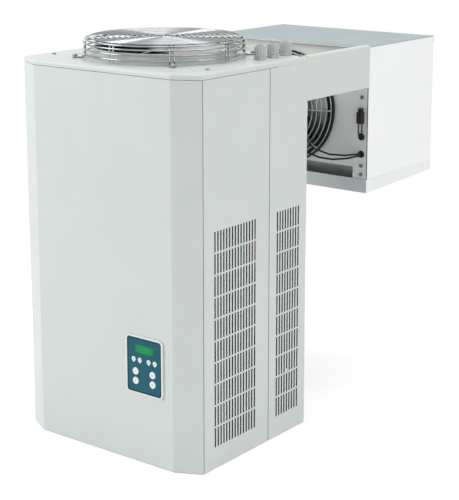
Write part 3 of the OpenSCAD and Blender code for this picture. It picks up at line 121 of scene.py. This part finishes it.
def shaded(tree, fac, low, high):
    """A colour that runs from low to high with fac, both as hex."""
    ramp = add(tree, "ShaderNodeValToRGB", {"Fac": fac})
    ramp.color_ramp.elements[0].color = linear(low)
    ramp.color_ramp.elements[1].color = linear(high)
    return ramp.outputs["Color"]


def ranged(tree, fac, low, high):
    """A number that runs from low to high as fac goes from 0.3 to 0.7, where noise mostly lies."""
    return add(tree, "ShaderNodeMapRange", {
        "Value": fac, "From Min": 0.3, "From Max": 0.7, "To Min": low, "To Max": high}).outputs[0]


def noise(tree, where, mm, detail=3.0):
    """Noise whose spots are about mm millimetres across."""
    return add(tree, "ShaderNodeTexNoise", {
        "Vector": where, "Scale": per_mm(mm), "Detail": detail}).outputs["Fac"]


def bumped(tree, shader, height, mm, strength):
    """Raises the surface by height times mm millimetres."""
    bump = add(tree, "ShaderNodeBump", {
        "Height": height, "Distance": mm / 1000, "Strength": strength})
    tree.links.new(bump.outputs["Normal"], shader.inputs["Normal"])


def sum_of(tree, kind, a, b=0.0):
    """One arithmetic step on two numbers."""
    return add(tree, "ShaderNodeMath", {0: a, 1: b}, operation=kind).outputs[0]


def clouded(name, low, high, cloud_mm, gloss_mm, rough, **principled):
    """A material whose colour runs from low to high in clouds of cloud_mm, and whose roughness runs
    between the two values of rough in clouds of gloss_mm."""
    made, tree, shader, where = new_material(name, **principled)
    tree.links.new(shaded(tree, noise(tree, where, cloud_mm), low, high), shader.inputs["Base Color"])
    tree.links.new(ranged(tree, noise(tree, where, gloss_mm), *rough), shader.inputs["Roughness"])
    return made, tree, shader, where


def inside_shade_mask(tree, where):
    """1 on the inner faces of the casing's sheets and 0 outside: the largest of the distances past
    the side, front, chamfer, wall and top planes is under zero there. The neck is left out. This is
    where painted shade goes: the side plane lies just inside the outer face, so the slot walls and
    seam edges are shaded too."""
    side_x, front_y, wall_y, top_z = 0.2117, 0.3890, -0.045, 0.070
    chamfer_along_x, chamfer_along_y, chamfer_away = 0.4545, 0.8908, 0.4208
    place = add(tree, "ShaderNodeSeparateXYZ", {0: where})
    x, y = sum_of(tree, "ABSOLUTE", place.outputs["X"]), place.outputs["Y"]
    past_side = sum_of(tree, "SUBTRACT", x, side_x)
    past_front = sum_of(tree, "SUBTRACT", sum_of(tree, "MULTIPLY", y, -1.0), front_y)
    slant = sum_of(tree, "SUBTRACT", sum_of(tree, "MULTIPLY", x, chamfer_along_x),
                   sum_of(tree, "MULTIPLY", y, chamfer_along_y))
    past_chamfer = sum_of(tree, "SUBTRACT", slant, chamfer_away)
    past_wall = sum_of(tree, "SUBTRACT", y, wall_y)
    past_top = sum_of(tree, "SUBTRACT", place.outputs["Z"], top_z)
    past = past_side
    for other in (past_front, past_chamfer, past_wall, past_top):
        past = sum_of(tree, "MAXIMUM", past, other)
    return sum_of(tree, "LESS_THAN", past, 0.0)


def powder_coat(name, low, high, inside=None):
    """Powder coat on steel: colour clouds a hand wide, and an orange peel of 2.5 mm. Given a third
    colour, the casing's inner faces take it as painted shade, chosen so that the slots look as dark as
    photographed."""
    made, tree, shader, where = new_material(name, IOR=1.5)
    tone = shaded(tree, noise(tree, where, 90), low, high)
    # Painted shade: the inner faces, slot walls and seam edges take the dark colour in place of the
    # coat's tone.
    if inside:
        shaded_inside = add(tree, "ShaderNodeMix", {
            0: inside_shade_mask(tree, where), 6: tone, 7: linear(inside)}, data_type="RGBA")
        tone = shaded_inside.outputs[2]
    tree.links.new(tone, shader.inputs["Base Color"])
    tree.links.new(ranged(tree, noise(tree, where, 30), 0.36, 0.46), shader.inputs["Roughness"])
    bumped(tree, shader, noise(tree, where, 2.5, 1.0), 0.05, 0.25)
    return made


def dress(material, *names):
    """Gives CAD nodes their material."""
    for name in names:
        nodes[name].data.materials.clear()
        nodes[name].data.materials.append(material)


# 26292A is painted shade for the casing's inside, its slot walls and its seam edges.
casing_coat = powder_coat("powder_coat_shaded_inside", "CDD3D0", "D3D9D6", "26292A")
dress(casing_coat, "front_cover", "side_panel_left", "side_panel_right", "rear_side_panel_left",
      "rear_side_panel_right", "top_cover", "condenser_fan_ring")


# Base, back plate, neck floor, end channel and inner brackets: galvanised sheet, left bare. Zinc
# freezes in spangles about a centimetre wide that differ a little in tone and gloss.
def galvanised(name, low, high):
    """Zinc spangle: Voronoi cells of 9 mm set the tone, and fine noise breaks their gloss."""
    made, tree, shader, where = new_material(name, Metallic=1.0)
    cells = add(tree, "ShaderNodeTexVoronoi", {"Vector": where, "Scale": per_mm(9)})
    tone = add(tree, "ShaderNodeSeparateColor", {"Color": cells.outputs["Color"]}).outputs["Red"]
    tree.links.new(shaded(tree, tone, low, high), shader.inputs["Base Color"])
    rough = add(tree, "ShaderNodeMapRange", {"Value": tone, "To Min": 0.38, "To Max": 0.5})
    tree.links.new(rough.outputs[0], shader.inputs["Roughness"])
    bumped(tree, shader, noise(tree, where, 1.2), 0.03, 0.3)
    return made


zinc = galvanised("galvanised_steel", "9AA1A2", "B2B8B9")
dress(zinc, "base_tray", "back_plate", "neck_floor", "neck_end_channel", "condenser_fan_bracket",
      "condenser_end_plates", "electric_box", "evaporator_end_plates")

# Foam plug of the neck: rigid insulation board, sawn to size, so its faces show cut cells.
foam, tree, shader, where = new_material("rigid_foam", Roughness=0.85)
cells = add(tree, "ShaderNodeTexVoronoi", {"Vector": where, "Scale": per_mm(2.2)})
tree.links.new(shaded(tree, cells.outputs["Distance"], "D9CFAE", "EFE8D2"),
               shader.inputs["Base Color"])
bumped(tree, shader, cells.outputs["Distance"], 0.4, 0.6)
dress(foam, "neck_plug")

# Refrigerant circuit: an enamelled compressor and receiver, drawn copper pipes, a turned brass
# valve, and rubber feet. Handling leaves the copper in browner and brighter clouds.
enamel, tree, shader, where = clouded("black_enamel", "0D0D0E", "1C1C1E", 60, 25, (0.22, 0.34),
                                      IOR=1.5)
bumped(tree, shader, noise(tree, where, 3, 1.0), 0.05, 0.2)
dress(enamel, "compressor", "liquid_receiver", "condenser_fan_motor", "evaporator_fan_motor")

copper = clouded("drawn_copper", "A8603C", "D08B62", 18, 7, (0.25, 0.42), Metallic=1.0)[0]
dress(copper, "condenser_tubes", "filter_drier", "discharge_pipe", "condenser_outlet_pipe",
      "liquid_pipe", "evaporator_feed_pipe", "suction_pipe", "evaporator_tubes")

brass, tree, shader, where = new_material("turned_brass", Metallic=1.0)
rings = add(tree, "ShaderNodeTexWave", {"Vector": where, "Scale": per_mm(1.5), "Distortion": 0.4},
            bands_direction="Z")
tree.links.new(shaded(tree, noise(tree, where, 10), "A98648", "C9A864"), shader.inputs["Base Color"])
shader.inputs["Roughness"].default_value = 0.3
bumped(tree, shader, rings.outputs["Fac"], 0.04, 0.3)
dress(brass, "expansion_valve")


def moulded(name, low, high, rough, grain):
    """Moulded plastic or rubber: faint colour clouds, and a spark-eroded grain of that many mm."""
    made, tree, shader, where = new_material(name, IOR=1.46)
    tree.links.new(shaded(tree, noise(tree, where, 12), low, high), shader.inputs["Base Color"])
    tree.links.new(ranged(tree, noise(tree, where, 4), rough - 0.05, rough + 0.05),
                   shader.inputs["Roughness"])
    bumped(tree, shader, noise(tree, where, grain, 2.0), 0.04, 0.35)
    return made


rubber = moulded("moulded_rubber", "0B0B0B", "181818", 0.62, 0.8)
black_nylon = moulded("black_nylon", "101011", "1B1B1C", 0.45, 0.6)
dress(rubber, "compressor_mounts")
dress(black_nylon, "compressor_terminal_box", "evaporator_fan_ring", "drain_spigot")

# Fins, fans and heater. Fin stock is thin bright aluminium, and the fans are stamped from sheet,
# whose rolling lines run along the strip. The heater is a sheathed steel rod, browned by heat.
def rolled(name, low, high, rough, stretch, metallic=1.0):
    """Rolled aluminium: noise drawn out along one axis gives the rolling lines, 0.5 mm apart. A
    lower metallic lets the sheet take diffuse light, which with a pale colour lightens a face in shade:
    painted light."""
    made, tree, shader, where = new_material(name, Metallic=metallic)
    drawn = add(tree, "ShaderNodeMapping", {"Vector": where, "Scale": stretch}).outputs["Vector"]
    lines = noise(tree, drawn, 3.0)
    tree.links.new(shaded(tree, noise(tree, where, 70), low, high), shader.inputs["Base Color"])
    tree.links.new(ranged(tree, lines, rough - 0.06, rough + 0.06), shader.inputs["Roughness"])
    bumped(tree, shader, lines, 0.02, 0.25)
    return made


fin_stock = rolled("fin_stock", "C9CDCF", "DDE0E1", 0.32, (1, 1, 0.1))
fan_sheet = rolled("stamped_aluminium", "CFCDC8", "DEDCD7", 0.36, (0.1, 1, 1))
dress(fin_stock, "condenser_fins", "evaporator_fins")
dress(fan_sheet, "condenser_fan_blades", "evaporator_fan_blades")

heat_steel = clouded("heated_steel", "5E564C", "857B6E", 15, 5, (0.4, 0.55), Metallic=1.0)[0]
dress(heat_steel, "defrost_heater")

board_coat, tree, shader, where = new_material("coated_board", IOR=1.5, Roughness=0.35)
tree.links.new(shaded(tree, noise(tree, where, 8), "12502A", "1B6A3A"), shader.inputs["Base Color"])
dress(board_coat, "control_board")

# Evaporator casing: mill-finish aluminium sheet on top and round the fan, white coated sides, and
# a folded aluminium tray. The mill finish has rolling lines across the unit and a soft sheen.
# The mill finish comes in copies toned for how light falls on them. The top's copy is darkened to its
# dim reflection, which is painted shade. The face's copy, round the fan and in shade under the neck, is
# near white and little metallic, which is painted light.
mill_top_darkened = rolled("mill_finish_top_painted_shade", "85989A", "A0B0B4", 0.34, (0.06, 1, 1))
mill_face_lit = rolled("mill_finish_face_painted_light", "EAEEEC", "F3F5F4", 0.5, (1, 1, 0.06), 0.2)
mill_tray = rolled("mill_finish_tray", "DFE2E2", "EFF1F1", 0.45, (0.06, 1, 1))
white_coat = powder_coat("white_coated_steel", "F5F6F7", "FAFBFB")
dress(mill_top_darkened, "evaporator_top")
dress(mill_face_lit, "evaporator_front_frame", "evaporator_fan_plate", "evaporator_outlet_frame")
dress(mill_tray, "drip_tray")
dress(white_coat, "evaporator_side_left", "evaporator_side_right")


# Condenser fan guard: bright plated steel wire. Rings are welded to eight pairs of spokes, which
# turn down the side, and four pairs turn out again as feet under a washer and a screw each.
def solid(name, points, faces, material, body):
    """One piece from points and faces: doubles merged, faces turned outwards, edges under 40 degrees
    shaded smooth. It rides on a body and takes the material it is given."""
    mesh = bpy.data.meshes.new(name)
    mesh.from_pydata(points.tolist(), [], faces.tolist())
    form = bmesh.new()
    form.from_mesh(mesh)
    bmesh.ops.remove_doubles(form, verts=form.verts, dist=1e-6)
    bmesh.ops.recalc_face_normals(form, faces=form.faces)
    form.to_mesh(mesh)
    form.free()
    mesh.shade_smooth()
    mesh.set_sharp_from_angle(angle=math.radians(40))
    mesh.materials.append(material)
    piece = bpy.data.objects.new(name, mesh)
    bpy.context.scene.collection.objects.link(piece)
    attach(piece, body)
    return piece


def join(parts):
    """Several grids of points and faces as one: each grid's faces count on from the last one's."""
    starts = np.cumsum([0] + [len(p) for p, _ in parts[:-1]])
    return (np.concatenate([p for p, _ in parts]),
            [f for (_, fs), s in zip(parts, starts) for f in (fs + s).tolist()])


def tube_grid(path, radius, sides=12, closed=False):
    """A round wire along a path [n, 3]: at every point a circle square to the path, in a frame made
    from the tangent and a fixed direction across it. An open wire's ends are closed at their middle."""
    path = np.asarray(path, float)
    if closed:
        along = np.roll(path, -1, 0) - np.roll(path, 1, 0)
    else:
        along = np.gradient(path, axis=0)
    along /= np.linalg.norm(along, axis=1)[:, None]
    across = np.eye(3)[np.argmin(np.abs(along).max(0))]
    n = np.cross(along, across)
    n /= np.linalg.norm(n, axis=1)[:, None]
    b = np.cross(along, n)
    a = np.linspace(0, 2 * np.pi, sides, endpoint=False)
    wall = path[:, None] + radius * (np.cos(a)[:, None] * n[:, None] + np.sin(a)[:, None] * b[:, None])
    if not closed:
        wall = np.concatenate([np.repeat(path[:1, None], sides, 1), wall,
                               np.repeat(path[-1:, None], sides, 1)])
    rows, m = wall.shape[0], sides
    u, v = np.meshgrid(np.arange(rows if closed else rows - 1), np.arange(m), indexing="ij")
    u1, v1 = (u + 1) % rows, (v + 1) % m
    faces = np.stack([u * m + v, u1 * m + v, u1 * m + v1, u * m + v1], -1).reshape(-1, 4)
    return wall.reshape(-1, 3), faces


def circle_path(radius, centre, steps=160):
    """A level circle round an upright axis."""
    a = np.linspace(0, 2 * np.pi, steps, endpoint=False)
    return np.stack([radius * np.cos(a), radius * np.sin(a), np.zeros(steps)], -1) + centre


def bent_path(corners, radius, steps=8):
    """A path through corners, each rounded to an arc of that radius, or less where a leg is short."""
    corners = np.asarray(corners, float)
    path = [corners[:1]]
    for before, corner, after in zip(corners, corners[1:], corners[2:]):
        to_b, to_a = before - corner, after - corner
        len_b, len_a = np.linalg.norm(to_b), np.linalg.norm(to_a)
        to_b, to_a = to_b / len_b, to_a / len_a
        half = math.acos(np.clip(to_b @ to_a, -1, 1)) / 2
        reach = min(radius / math.tan(half), len_b / 2, len_a / 2)
        middle = corner + (to_b + to_a) / np.linalg.norm(to_b + to_a) * reach / math.cos(half)
        s = np.linspace(0, 1, steps)[:, None]
        turn = math.pi - 2 * half
        start, end = corner + to_b * reach - middle, corner + to_a * reach - middle
        path.append(middle + (np.sin((1 - s) * turn) * start + np.sin(s * turn) * end)
                    / math.sin(turn))
    return np.concatenate([*path, corners[-1:]])


def turned(points, angle):
    """Points turned by an angle in degrees round the upright axis through the origin."""
    c, s = math.cos(math.radians(angle)), math.sin(math.radians(angle))
    return points @ np.array([[c, s, 0], [-s, c, 0], [0, 0, 1]])


# The plating's own grey is set darker than bright plating, to stand for the dark reflections between
# the wires: painted shade.
plated_wire_darkened = clouded("plated_wire_painted_shade", "85898B", "B4B8BA", 20, 6, (0.12, 0.2), Metallic=1.0)[0]

lid_z = 0.084
guard_centre = np.array([0, -0.21, 0])
guard_top = lid_z + 0.0375
side_step, leg_rise, foot_rise, spoke_start = 0.0095, 0.003, 0.002, 0.0159
screw_circle, washer_rise, head_rise = 0.1665, 0.004, 0.0052
guard_r, ring_wire, spoke_wire, ring_pitch = 0.1505, 0.0015, 0.0018, 0.011
touch = ring_wire + spoke_wire - 0.0002
spoke_bend, spoke_half_gap, foot_reach = 0.0072, 0.00425, 0.1705
spoke_z, leg_r = guard_top - touch, guard_r - touch
hug = (spoke_bend + touch) * math.sqrt(0.5) - spoke_bend
wires = [tube_grid(circle_path(leg_r + hug, (0, 0, spoke_z + hug)), ring_wire, 10, True)]
wires += [tube_grid(circle_path(guard_r - k * ring_pitch, (0, 0, guard_top)), ring_wire, 10, True)
          for k in range(1, 13)]
wires += [tube_grid(circle_path(guard_r, (0, 0, guard_top - k * side_step)), ring_wire, 10, True)
          for k in (1, 2, 3)]
for k in range(8):
    for side in (-1, 1):
        y = side * spoke_half_gap
        reach = math.sqrt(leg_r ** 2 - y ** 2)
        low = [(reach, y, lid_z + leg_rise)]
        if k % 2:
            low = [(reach, y, lid_z + foot_rise), (foot_reach, y, lid_z + foot_rise)]
        path = bent_path([(spoke_start, y, spoke_z), (reach, y, spoke_z), *low], spoke_bend)
        wires.append(tube_grid(turned(path, 45 * k), spoke_wire, 10))
points, faces = join([(p + guard_centre, f) for p, f in wires])
guard = solid("fan_guard_wires", points, np.array(faces), plated_wire_darkened, "root")


def revolved(profile, sides=32):
    """A profile [n, (radius, height)] turned round the upright axis through the origin, as a grid."""
    profile = np.asarray(profile, float)
    a = np.linspace(0, 2 * np.pi, sides, endpoint=False)
    ring = np.stack([np.cos(a), np.sin(a), np.zeros(sides)], -1)
    return profile[:, None, :1] * ring + profile[:, None, 1:] * np.array([0, 0, 1])


def grid_faces(grid, round_v=True):
    """Points and faces of a grid whose columns go round."""
    nu, nv = grid.shape[:2]
    u, v = np.meshgrid(np.arange(nu - 1), np.arange(nv if round_v else nv - 1), indexing="ij")
    v1 = (v + 1) % nv
    faces = np.stack([u * nv + v, (u + 1) * nv + v, (u + 1) * nv + v1, u * nv + v1], -1)
    return grid.reshape(-1, 3), faces.reshape(-1, 4)


# Pan-head screws with a cross recess and a washer hold the guard's feet, the lid and the strips of
# the evaporator. They are zinc plated steel.
def screw_grid(head_r, head_h):
    """A pan head: a flat rim, a crown that falls as a quarter ellipse, and a cross recess that is
    the crown lowered where either of two crossed bars covers it."""
    r = np.concatenate([np.linspace(0, 1, 12), [1, 0.98, 0]])
    z = np.concatenate([np.sqrt(np.clip(1 - np.linspace(0, 1, 12) ** 2.6, 0, 1)) * 0.55 + 0.45,
                        [0, 0, 0]])
    grid = revolved(np.stack([r * head_r, z * head_h], -1), 40)
    x, y = np.abs(grid[..., 0]), np.abs(grid[..., 1])
    bar = (np.minimum(x, y) < 0.13 * head_r) & (np.maximum(x, y) < 0.62 * head_r)
    inside = bar & (grid[..., 2] > 0.3 * head_h)
    grid[..., 2] = np.where(inside, 0.42 * head_h, grid[..., 2])
    return grid_faces(grid)


def washer_grid(inner, outer, height):
    """A flat ring with a rectangular section."""
    ring = [(inner, 0), (outer, 0), (outer, height), (inner, height), (inner, 0)]
    return grid_faces(revolved(ring, 40))


screw_zinc = clouded("zinc_plated_steel", "8B8D8C", "B0B2B0", 6, 2, (0.28, 0.42), Metallic=1.0)[0]
feet = []
for angle in (45, 135, 225, 315):
    at = turned(np.array([[screw_circle, 0, lid_z]]), angle)[0] + guard_centre
    for rise, (points, faces) in ((washer_rise, washer_grid(0.002, 0.006, 0.0012)),
                                  (head_rise, screw_grid(0.004, 0.0024))):
        feet.append((points + at + (0, 0, rise), faces))
points, faces = join(feet)
foot_screws = solid("guard_foot_screws", points, np.array(faces), screw_zinc, "root")
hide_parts("condenser_fan_guard")
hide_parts("condenser_fan_guard")


# Evaporator fan guard: a domed basket of the same wire that carries the motor in its middle. Eight
# spokes lie over the rings, and the outermost ring sits on the black inlet ring.
def facing_out(points, at):
    """Points of a form built on its own upright axis, laid over so that the axis looks to -Y."""
    x, y, z = np.moveaxis(points, -1, 0)
    return np.stack([x, -z, y], -1) + at


efan_z, eguard_y, ering_step, ering_count = -0.059, 0.1807, 0.009, 8
eguard_r, eguard_rise, emotor_r = 0.1135, 0.030, 0.042
dome_r = (eguard_r ** 2 + eguard_rise ** 2) / (2 * eguard_rise)


def dome(r, out=0.0):
    """Height of the sphere of the basket, or of one that lies further out, at radius r."""
    return np.sqrt((dome_r + out) ** 2 - r ** 2) - dome_r + eguard_rise


basket = [tube_grid(circle_path(r, (0, 0, dome(r)), 120), ring_wire, 10, True)
          for r in eguard_r - ering_step * np.arange(ering_count)]
r = np.linspace(emotor_r + 0.0006, eguard_r + ring_wire, 24)
for k in range(8):
    path = np.stack([r, 0 * r, dome(r, ring_wire + spoke_wire)], -1)
    wall, faces = tube_grid(path, spoke_wire, 10)
    basket.append((turned(wall, 45 * k), faces))
points, faces = join(basket)
basket = solid("evaporator_guard_wires", facing_out(points, (0, eguard_y, efan_z)), np.array(faces),
               plated_wire_darkened, "root")
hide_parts("evaporator_fan_guard")

# Keypad: a printed polyester film on a moulded plate, teal with a darker edge, in a pale bezel.
# The film is glossy with a faint embossed grain.
key_x, key_z = 0.099, -0.4502
film, tree, shader, where = new_material("printed_film", IOR=1.3, Roughness=0.42)
place = add(tree, "ShaderNodeSeparateXYZ", {0: where})
off_x = sum_of(tree, "ABSOLUTE", sum_of(tree, "SUBTRACT", place.outputs["X"], key_x))
off_z = sum_of(tree, "ABSOLUTE", sum_of(tree, "SUBTRACT", place.outputs["Z"], key_z))
edge = sum_of(tree, "MAXIMUM", sum_of(tree, "GREATER_THAN", off_x, 0.0368),
              sum_of(tree, "GREATER_THAN", off_z, 0.0485))
teal = shaded(tree, noise(tree, where, 45), "0B5068", "0E646C")
border = add(tree, "ShaderNodeMix", {0: edge, 6: teal, 7: linear("0E3F4C")}, data_type="RGBA")
tree.links.new(border.outputs[2], shader.inputs["Base Color"])
bumped(tree, shader, noise(tree, where, 0.9, 1.0), 0.03, 0.2)
white_abs = moulded("white_abs", "E6E9E8", "F2F4F3", 0.3, 0.7)
# The display filter carries a painted glow. Its weak green emission, and its colour, lighter in the
# middle and darker towards the edges, are painted light.
painted_glow_filter, tree, shader, where = new_material("display_filter_painted_glow", IOR=1.3, Roughness=0.3)
place = add(tree, "ShaderNodeSeparateXYZ", {0: where})
off_x = sum_of(tree, "DIVIDE", sum_of(tree, "SUBTRACT", place.outputs["X"], key_x), 0.022)
off_z = sum_of(tree, "DIVIDE", sum_of(tree, "SUBTRACT", place.outputs["Z"], key_z + 0.0307), 0.0095)
from_glow_middle = sum_of(tree, "ADD", sum_of(tree, "MULTIPLY", off_x, off_x),
              sum_of(tree, "MULTIPLY", off_z, off_z))
tree.links.new(shaded(tree, from_glow_middle, "08803C", "0F6248"), shader.inputs["Base Color"])
shader.inputs["Emission Color"].default_value = linear("0FA048")
shader.inputs["Emission Strength"].default_value = 0.22
dress(film, "keypad_plate")
dress(white_abs, "keypad_bezel", "indicators", "button_1", "button_2", "button_3", "button_4")
dress(painted_glow_filter, "display_window")


# Print on the keys and indicators: grey marks a tenth of a millimetre proud. Each indicator has a
# ring, and the buttons have an up, a down, a square and a ring with a bar, as on any controller.
ink = moulded("grey_ink", "6F8286", "7D9094", 0.5, 0.5)


def mark(shapes, x, z, y, name, body):
    """Flat marks facing -Y: each shape is an outer and an inner outline of as many points, in mm
    round the mark's middle, made into a band with a rim that reaches back to the key's face."""
    bands = []
    for outer, inner in shapes:
        outer, inner = np.array(outer, float) / 1000, np.array(inner, float) / 1000
        rows = [(outer, 0.0003), (outer, 0), (inner, 0), (inner, 0.0003), (outer, 0.0003)]
        grid = np.stack([np.stack([q[:, 0] + x, np.full(len(q), y + back), q[:, 1] + z], -1)
                         for q, back in rows])
        bands.append(grid_faces(grid))
    points, faces = join(bands)
    return solid(name, points, np.array(faces), ink, body)


def ring_shape(outer, inner, steps=28):
    """The two circles of a ring."""
    a = np.linspace(0, 2 * np.pi, steps, endpoint=False)
    circle = np.stack([np.cos(a), np.sin(a)], -1)
    return outer * circle, inner * circle


def frame_shape(corners, inset):
    """A closed band inside corners: the inner outline is the outer one drawn to its middle."""
    corners = np.array(corners, float)
    middle = corners.mean(0)
    return corners, middle + (corners - middle) * (1 - inset)


arrow = np.array([(-1.7, -1.1), (0, 1.7), (1.7, -1.1)])
bar = [(-0.3, 0.2), (0.3, 0.2), (0.3, 2.2), (-0.3, 2.2)]
box_mark = [(-1.5, -1.5), (1.5, -1.5), (1.5, 1.5), (-1.5, 1.5)]
signs = ([frame_shape(arrow, 0.5)], [frame_shape(-arrow, 0.5)], [frame_shape(box_mark, 0.4)],
         [ring_shape(1.8, 1.3), frame_shape(bar, 0.9)])
for k, sign in enumerate(signs):
    low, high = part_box(f"button_{k + 1}")
    mark(sign, (low.x + high.x) / 2, (low.z + high.z) / 2, low.y - 0.0001, f"button_sign_{k + 1}",
         f"button_{k + 1}")
low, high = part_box("indicators")
indicator_rise = 0.010
for k, dx in enumerate((-0.025, -0.0105, 0.0105, 0.025)):
    mark([ring_shape(1.5, 0.8)], key_x + dx, key_z + indicator_rise, low.y - 0.0001,
         f"indicator_ring_{k + 1}", "root")

# Painted shadow: a thin dark rod along the joint between each white side and the front frame stands for
# the shadow in the gap there.
joint_shadow_rods = [tube_grid([(side * 0.1979, 0.1864, z) for z in np.linspace(-0.1928, 0.0765, 24)], 0.0008, 10)
         for side in (-1, 1)]
points, faces = join(joint_shadow_rods)
solid("front_joint_painted_shadow", points, np.array(faces), rubber, "root")

# Wiring on the wall side: the heater's moulded plug with two wires down to a rubber grommet, and the
# fan's two black leads, which leave the lower grommet and lie in a bend down to the motor.
def block_grid(low, high, edge):
    """A block between two corners with its edges rounded: a sphere's points, pushed out along each
    axis to the block's size less the edge radius."""
    low, high = np.array(low, float), np.array(high, float)
    a = np.linspace(-np.pi / 2, np.pi / 2, 17)
    b = np.linspace(-np.pi, np.pi, 48, endpoint=False) + np.pi / 48
    ball = np.stack([np.cos(a)[:, None] * np.cos(b), np.cos(a)[:, None] * np.sin(b),
                     np.sin(a)[:, None] + 0 * b], -1)
    side = np.sign(np.where(np.abs(ball) < 1e-9, 1, ball))
    grid = (low + high) / 2 + side * ((high - low) / 2 - edge) + ball * edge
    ends = np.repeat(grid[[0, -1]].mean(1, keepdims=True), grid.shape[1], 1)
    return grid_faces(np.concatenate([ends[:1], grid, ends[1:]]))


wire_x, y_evap = 0.184, 0.187
plug_grommet_z, lead_grommet_z, plug_z = -0.106, -0.142, -0.078
plug_half, neck_half, plug_seat = 0.0065, 0.0043, y_evap - 0.0002
wiring = [block_grid((wire_x - plug_half, y_evap - 0.012, plug_z),
                     (wire_x + plug_half, plug_seat, plug_z + 0.024), 0.0018),
          block_grid((wire_x - neck_half, y_evap - 0.0096, plug_z + 0.0225),
                     (wire_x + neck_half, plug_seat, plug_z + 0.0312), 0.0015)]
for side in (-1, 1):
    wiring.append(tube_grid(bent_path([
        (wire_x + side * neck_half, y_evap - 0.006, plug_z + 0.002),
        (wire_x + side * neck_half, y_evap - 0.006, plug_grommet_z + 0.011),
        (wire_x + side * 0.0017, y_evap - 0.006, plug_grommet_z),
        (wire_x + side * 0.0017, y_evap + 0.005, plug_grommet_z)], 0.0044), 0.0013, 12))
for z in (plug_grommet_z, lead_grommet_z):
    rim = [(0.0038, 0), (0.0042, 0.0024), (0.0052, 0.003), (0.0064, 0.0027), (0.0072, 0.0017),
           (0.0075, 0.0003), (0.0054, 0.0002), (0.0052, -0.0026), (0.0038, -0.0026), (0.0038, 0)]
    points, faces = grid_faces(revolved(rim, 40))
    wiring.append((facing_out(points, (wire_x, y_evap, z)), faces))
lead_bend, lead_radius = 0.02, 0.0019
leads = ([(0.184, 0.194, -0.1436), (0.184, 0.179, -0.1436), (0.160, 0.1735, -0.1515),
          (0.125, 0.169, -0.157), (0.096, 0.1635, -0.155), (0.066, 0.1575, -0.146),
          (0.044, 0.1505, -0.122), (0.030, 0.1445, -0.098)],
         [(0.184, 0.194, -0.1400), (0.184, 0.1765, -0.1400), (0.158, 0.1675, -0.1445),
          (0.124, 0.1615, -0.1455), (0.094, 0.1555, -0.137), (0.070, 0.1500, -0.118),
          (0.052, 0.1460, -0.096), (0.034, 0.1430, -0.082)])
for path in leads:
    wiring.append(tube_grid(bent_path(path, lead_bend, 7), lead_radius, 12))
points, faces = join(wiring)
wiring = solid("plug_and_leads", points, np.array(faces), rubber, "root")
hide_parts("wall_side_wiring")

# Cable glands: moulded polyamide bodies with fluted cap nuts, light grey.
polyamide = moulded("grey_polyamide", "B6B9B8", "C4C7C6", 0.42, 0.7)
dress(polyamide, "cable_glands", "gland_nuts")
dress(screw_zinc, "casing_screws")

# Studio: a pale floor that fades into the white world around it, and large soft lights, one over the
# camera's left, one from the right and one above, with a weak small one into the opening.
def seen_directly(tree):
    """1 for the rays that see a surface straight, in a gloss or through glass, and 0 for the rest."""
    rays = add(tree, "ShaderNodeLightPath")
    seen = sum_of(tree, "MAXIMUM", rays.outputs["Is Camera Ray"], rays.outputs["Is Glossy Ray"])
    return sum_of(tree, "MAXIMUM", seen, rays.outputs["Is Transmission Ray"])


floor_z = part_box("base_tray")[0].z
floor_reach = 30
floor_mesh = bpy.data.meshes.new("floor")
floor_mesh.from_pydata([(x * floor_reach, y * floor_reach, floor_z)
                        for x, y in ((-1, -1), (1, -1), (1, 1), (-1, 1))], [], [(0, 1, 2, 3)])
floor = bpy.data.objects.new("floor", floor_mesh)
bpy.context.scene.collection.objects.link(floor)
pale, tree, shader, where = new_material("pale_floor", Roughness=0.9)
shader.inputs["Base Color"].default_value = linear("F4F4F4")
reach = add(tree, "ShaderNodeVectorMath", {0: where}, operation="LENGTH").outputs["Value"]
afar = add(tree, "ShaderNodeMapRange", {
    "Value": reach, "From Min": 0.9, "From Max": 1.9}, interpolation_type="SMOOTHSTEP").outputs[0]
lift = add(tree, "ShaderNodeEmission", {"Color": (1, 1, 1, 1), "Strength": 0.35})
near = add(tree, "ShaderNodeAddShader", {0: shader.outputs[0], 1: lift.outputs[0]})
plain = add(tree, "ShaderNodeEmission", {"Color": (1, 1, 1, 1), "Strength": 1.0})
shown = add(tree, "ShaderNodeMixShader", {0: afar, 1: near.outputs[0], 2: plain.outputs[0]})
mixed = add(tree, "ShaderNodeMixShader", {
    0: seen_directly(tree), 1: shader.outputs[0], 2: shown.outputs[0]})
tree.links.new(mixed.outputs[0], tree.nodes["Material Output"].inputs["Surface"])
floor_mesh.materials.append(pale)
floor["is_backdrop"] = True

world = bpy.data.worlds.new("studio")
bpy.context.scene.world = world
world.use_nodes = True
tree = world.node_tree
soft = tree.nodes["Background"]
soft.inputs["Color"].default_value = (1, 1, 1, 1)
soft.inputs["Strength"].default_value = 0.42
white = add(tree, "ShaderNodeBackground", {"Color": (1, 1, 1, 1), "Strength": 1.0})
mixed = add(tree, "ShaderNodeMixShader", {
    0: seen_directly(tree), 1: soft.outputs[0], 2: white.outputs[0]})
tree.links.new(mixed.outputs[0], tree.nodes["World Output"].inputs["Surface"])


def softbox(name, place, aim, size, watts):
    """A square area light at place, turned to aim."""
    light = bpy.data.objects.new(name, bpy.data.lights.new(name, "AREA"))
    light.data.shape, light.data.size, light.data.energy = "SQUARE", size, watts
    bpy.context.scene.collection.objects.link(light)
    place, aim = np.array(place), np.array(aim)
    light.location = place
    back = Vector(place - aim)
    light.rotation_euler = back.to_track_quat("Z", "Y").to_euler()


middle = (0, 0, -0.25)
softbox("key", (-2.6, -2.9, 1.4), middle, 2.2, 90)
softbox("side", (3.7, 0.35, 0.9), middle, 1.8, 31)
softbox("top", (0.3, 0.4, 3.2), middle, 2.6, 60)
softbox("fill", (1.5, -0.8, -0.1), (0.12, 0.19, -0.08), 0.4, 1.6)

bpy.context.scene.view_settings.view_transform = "Standard"
low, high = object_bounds()
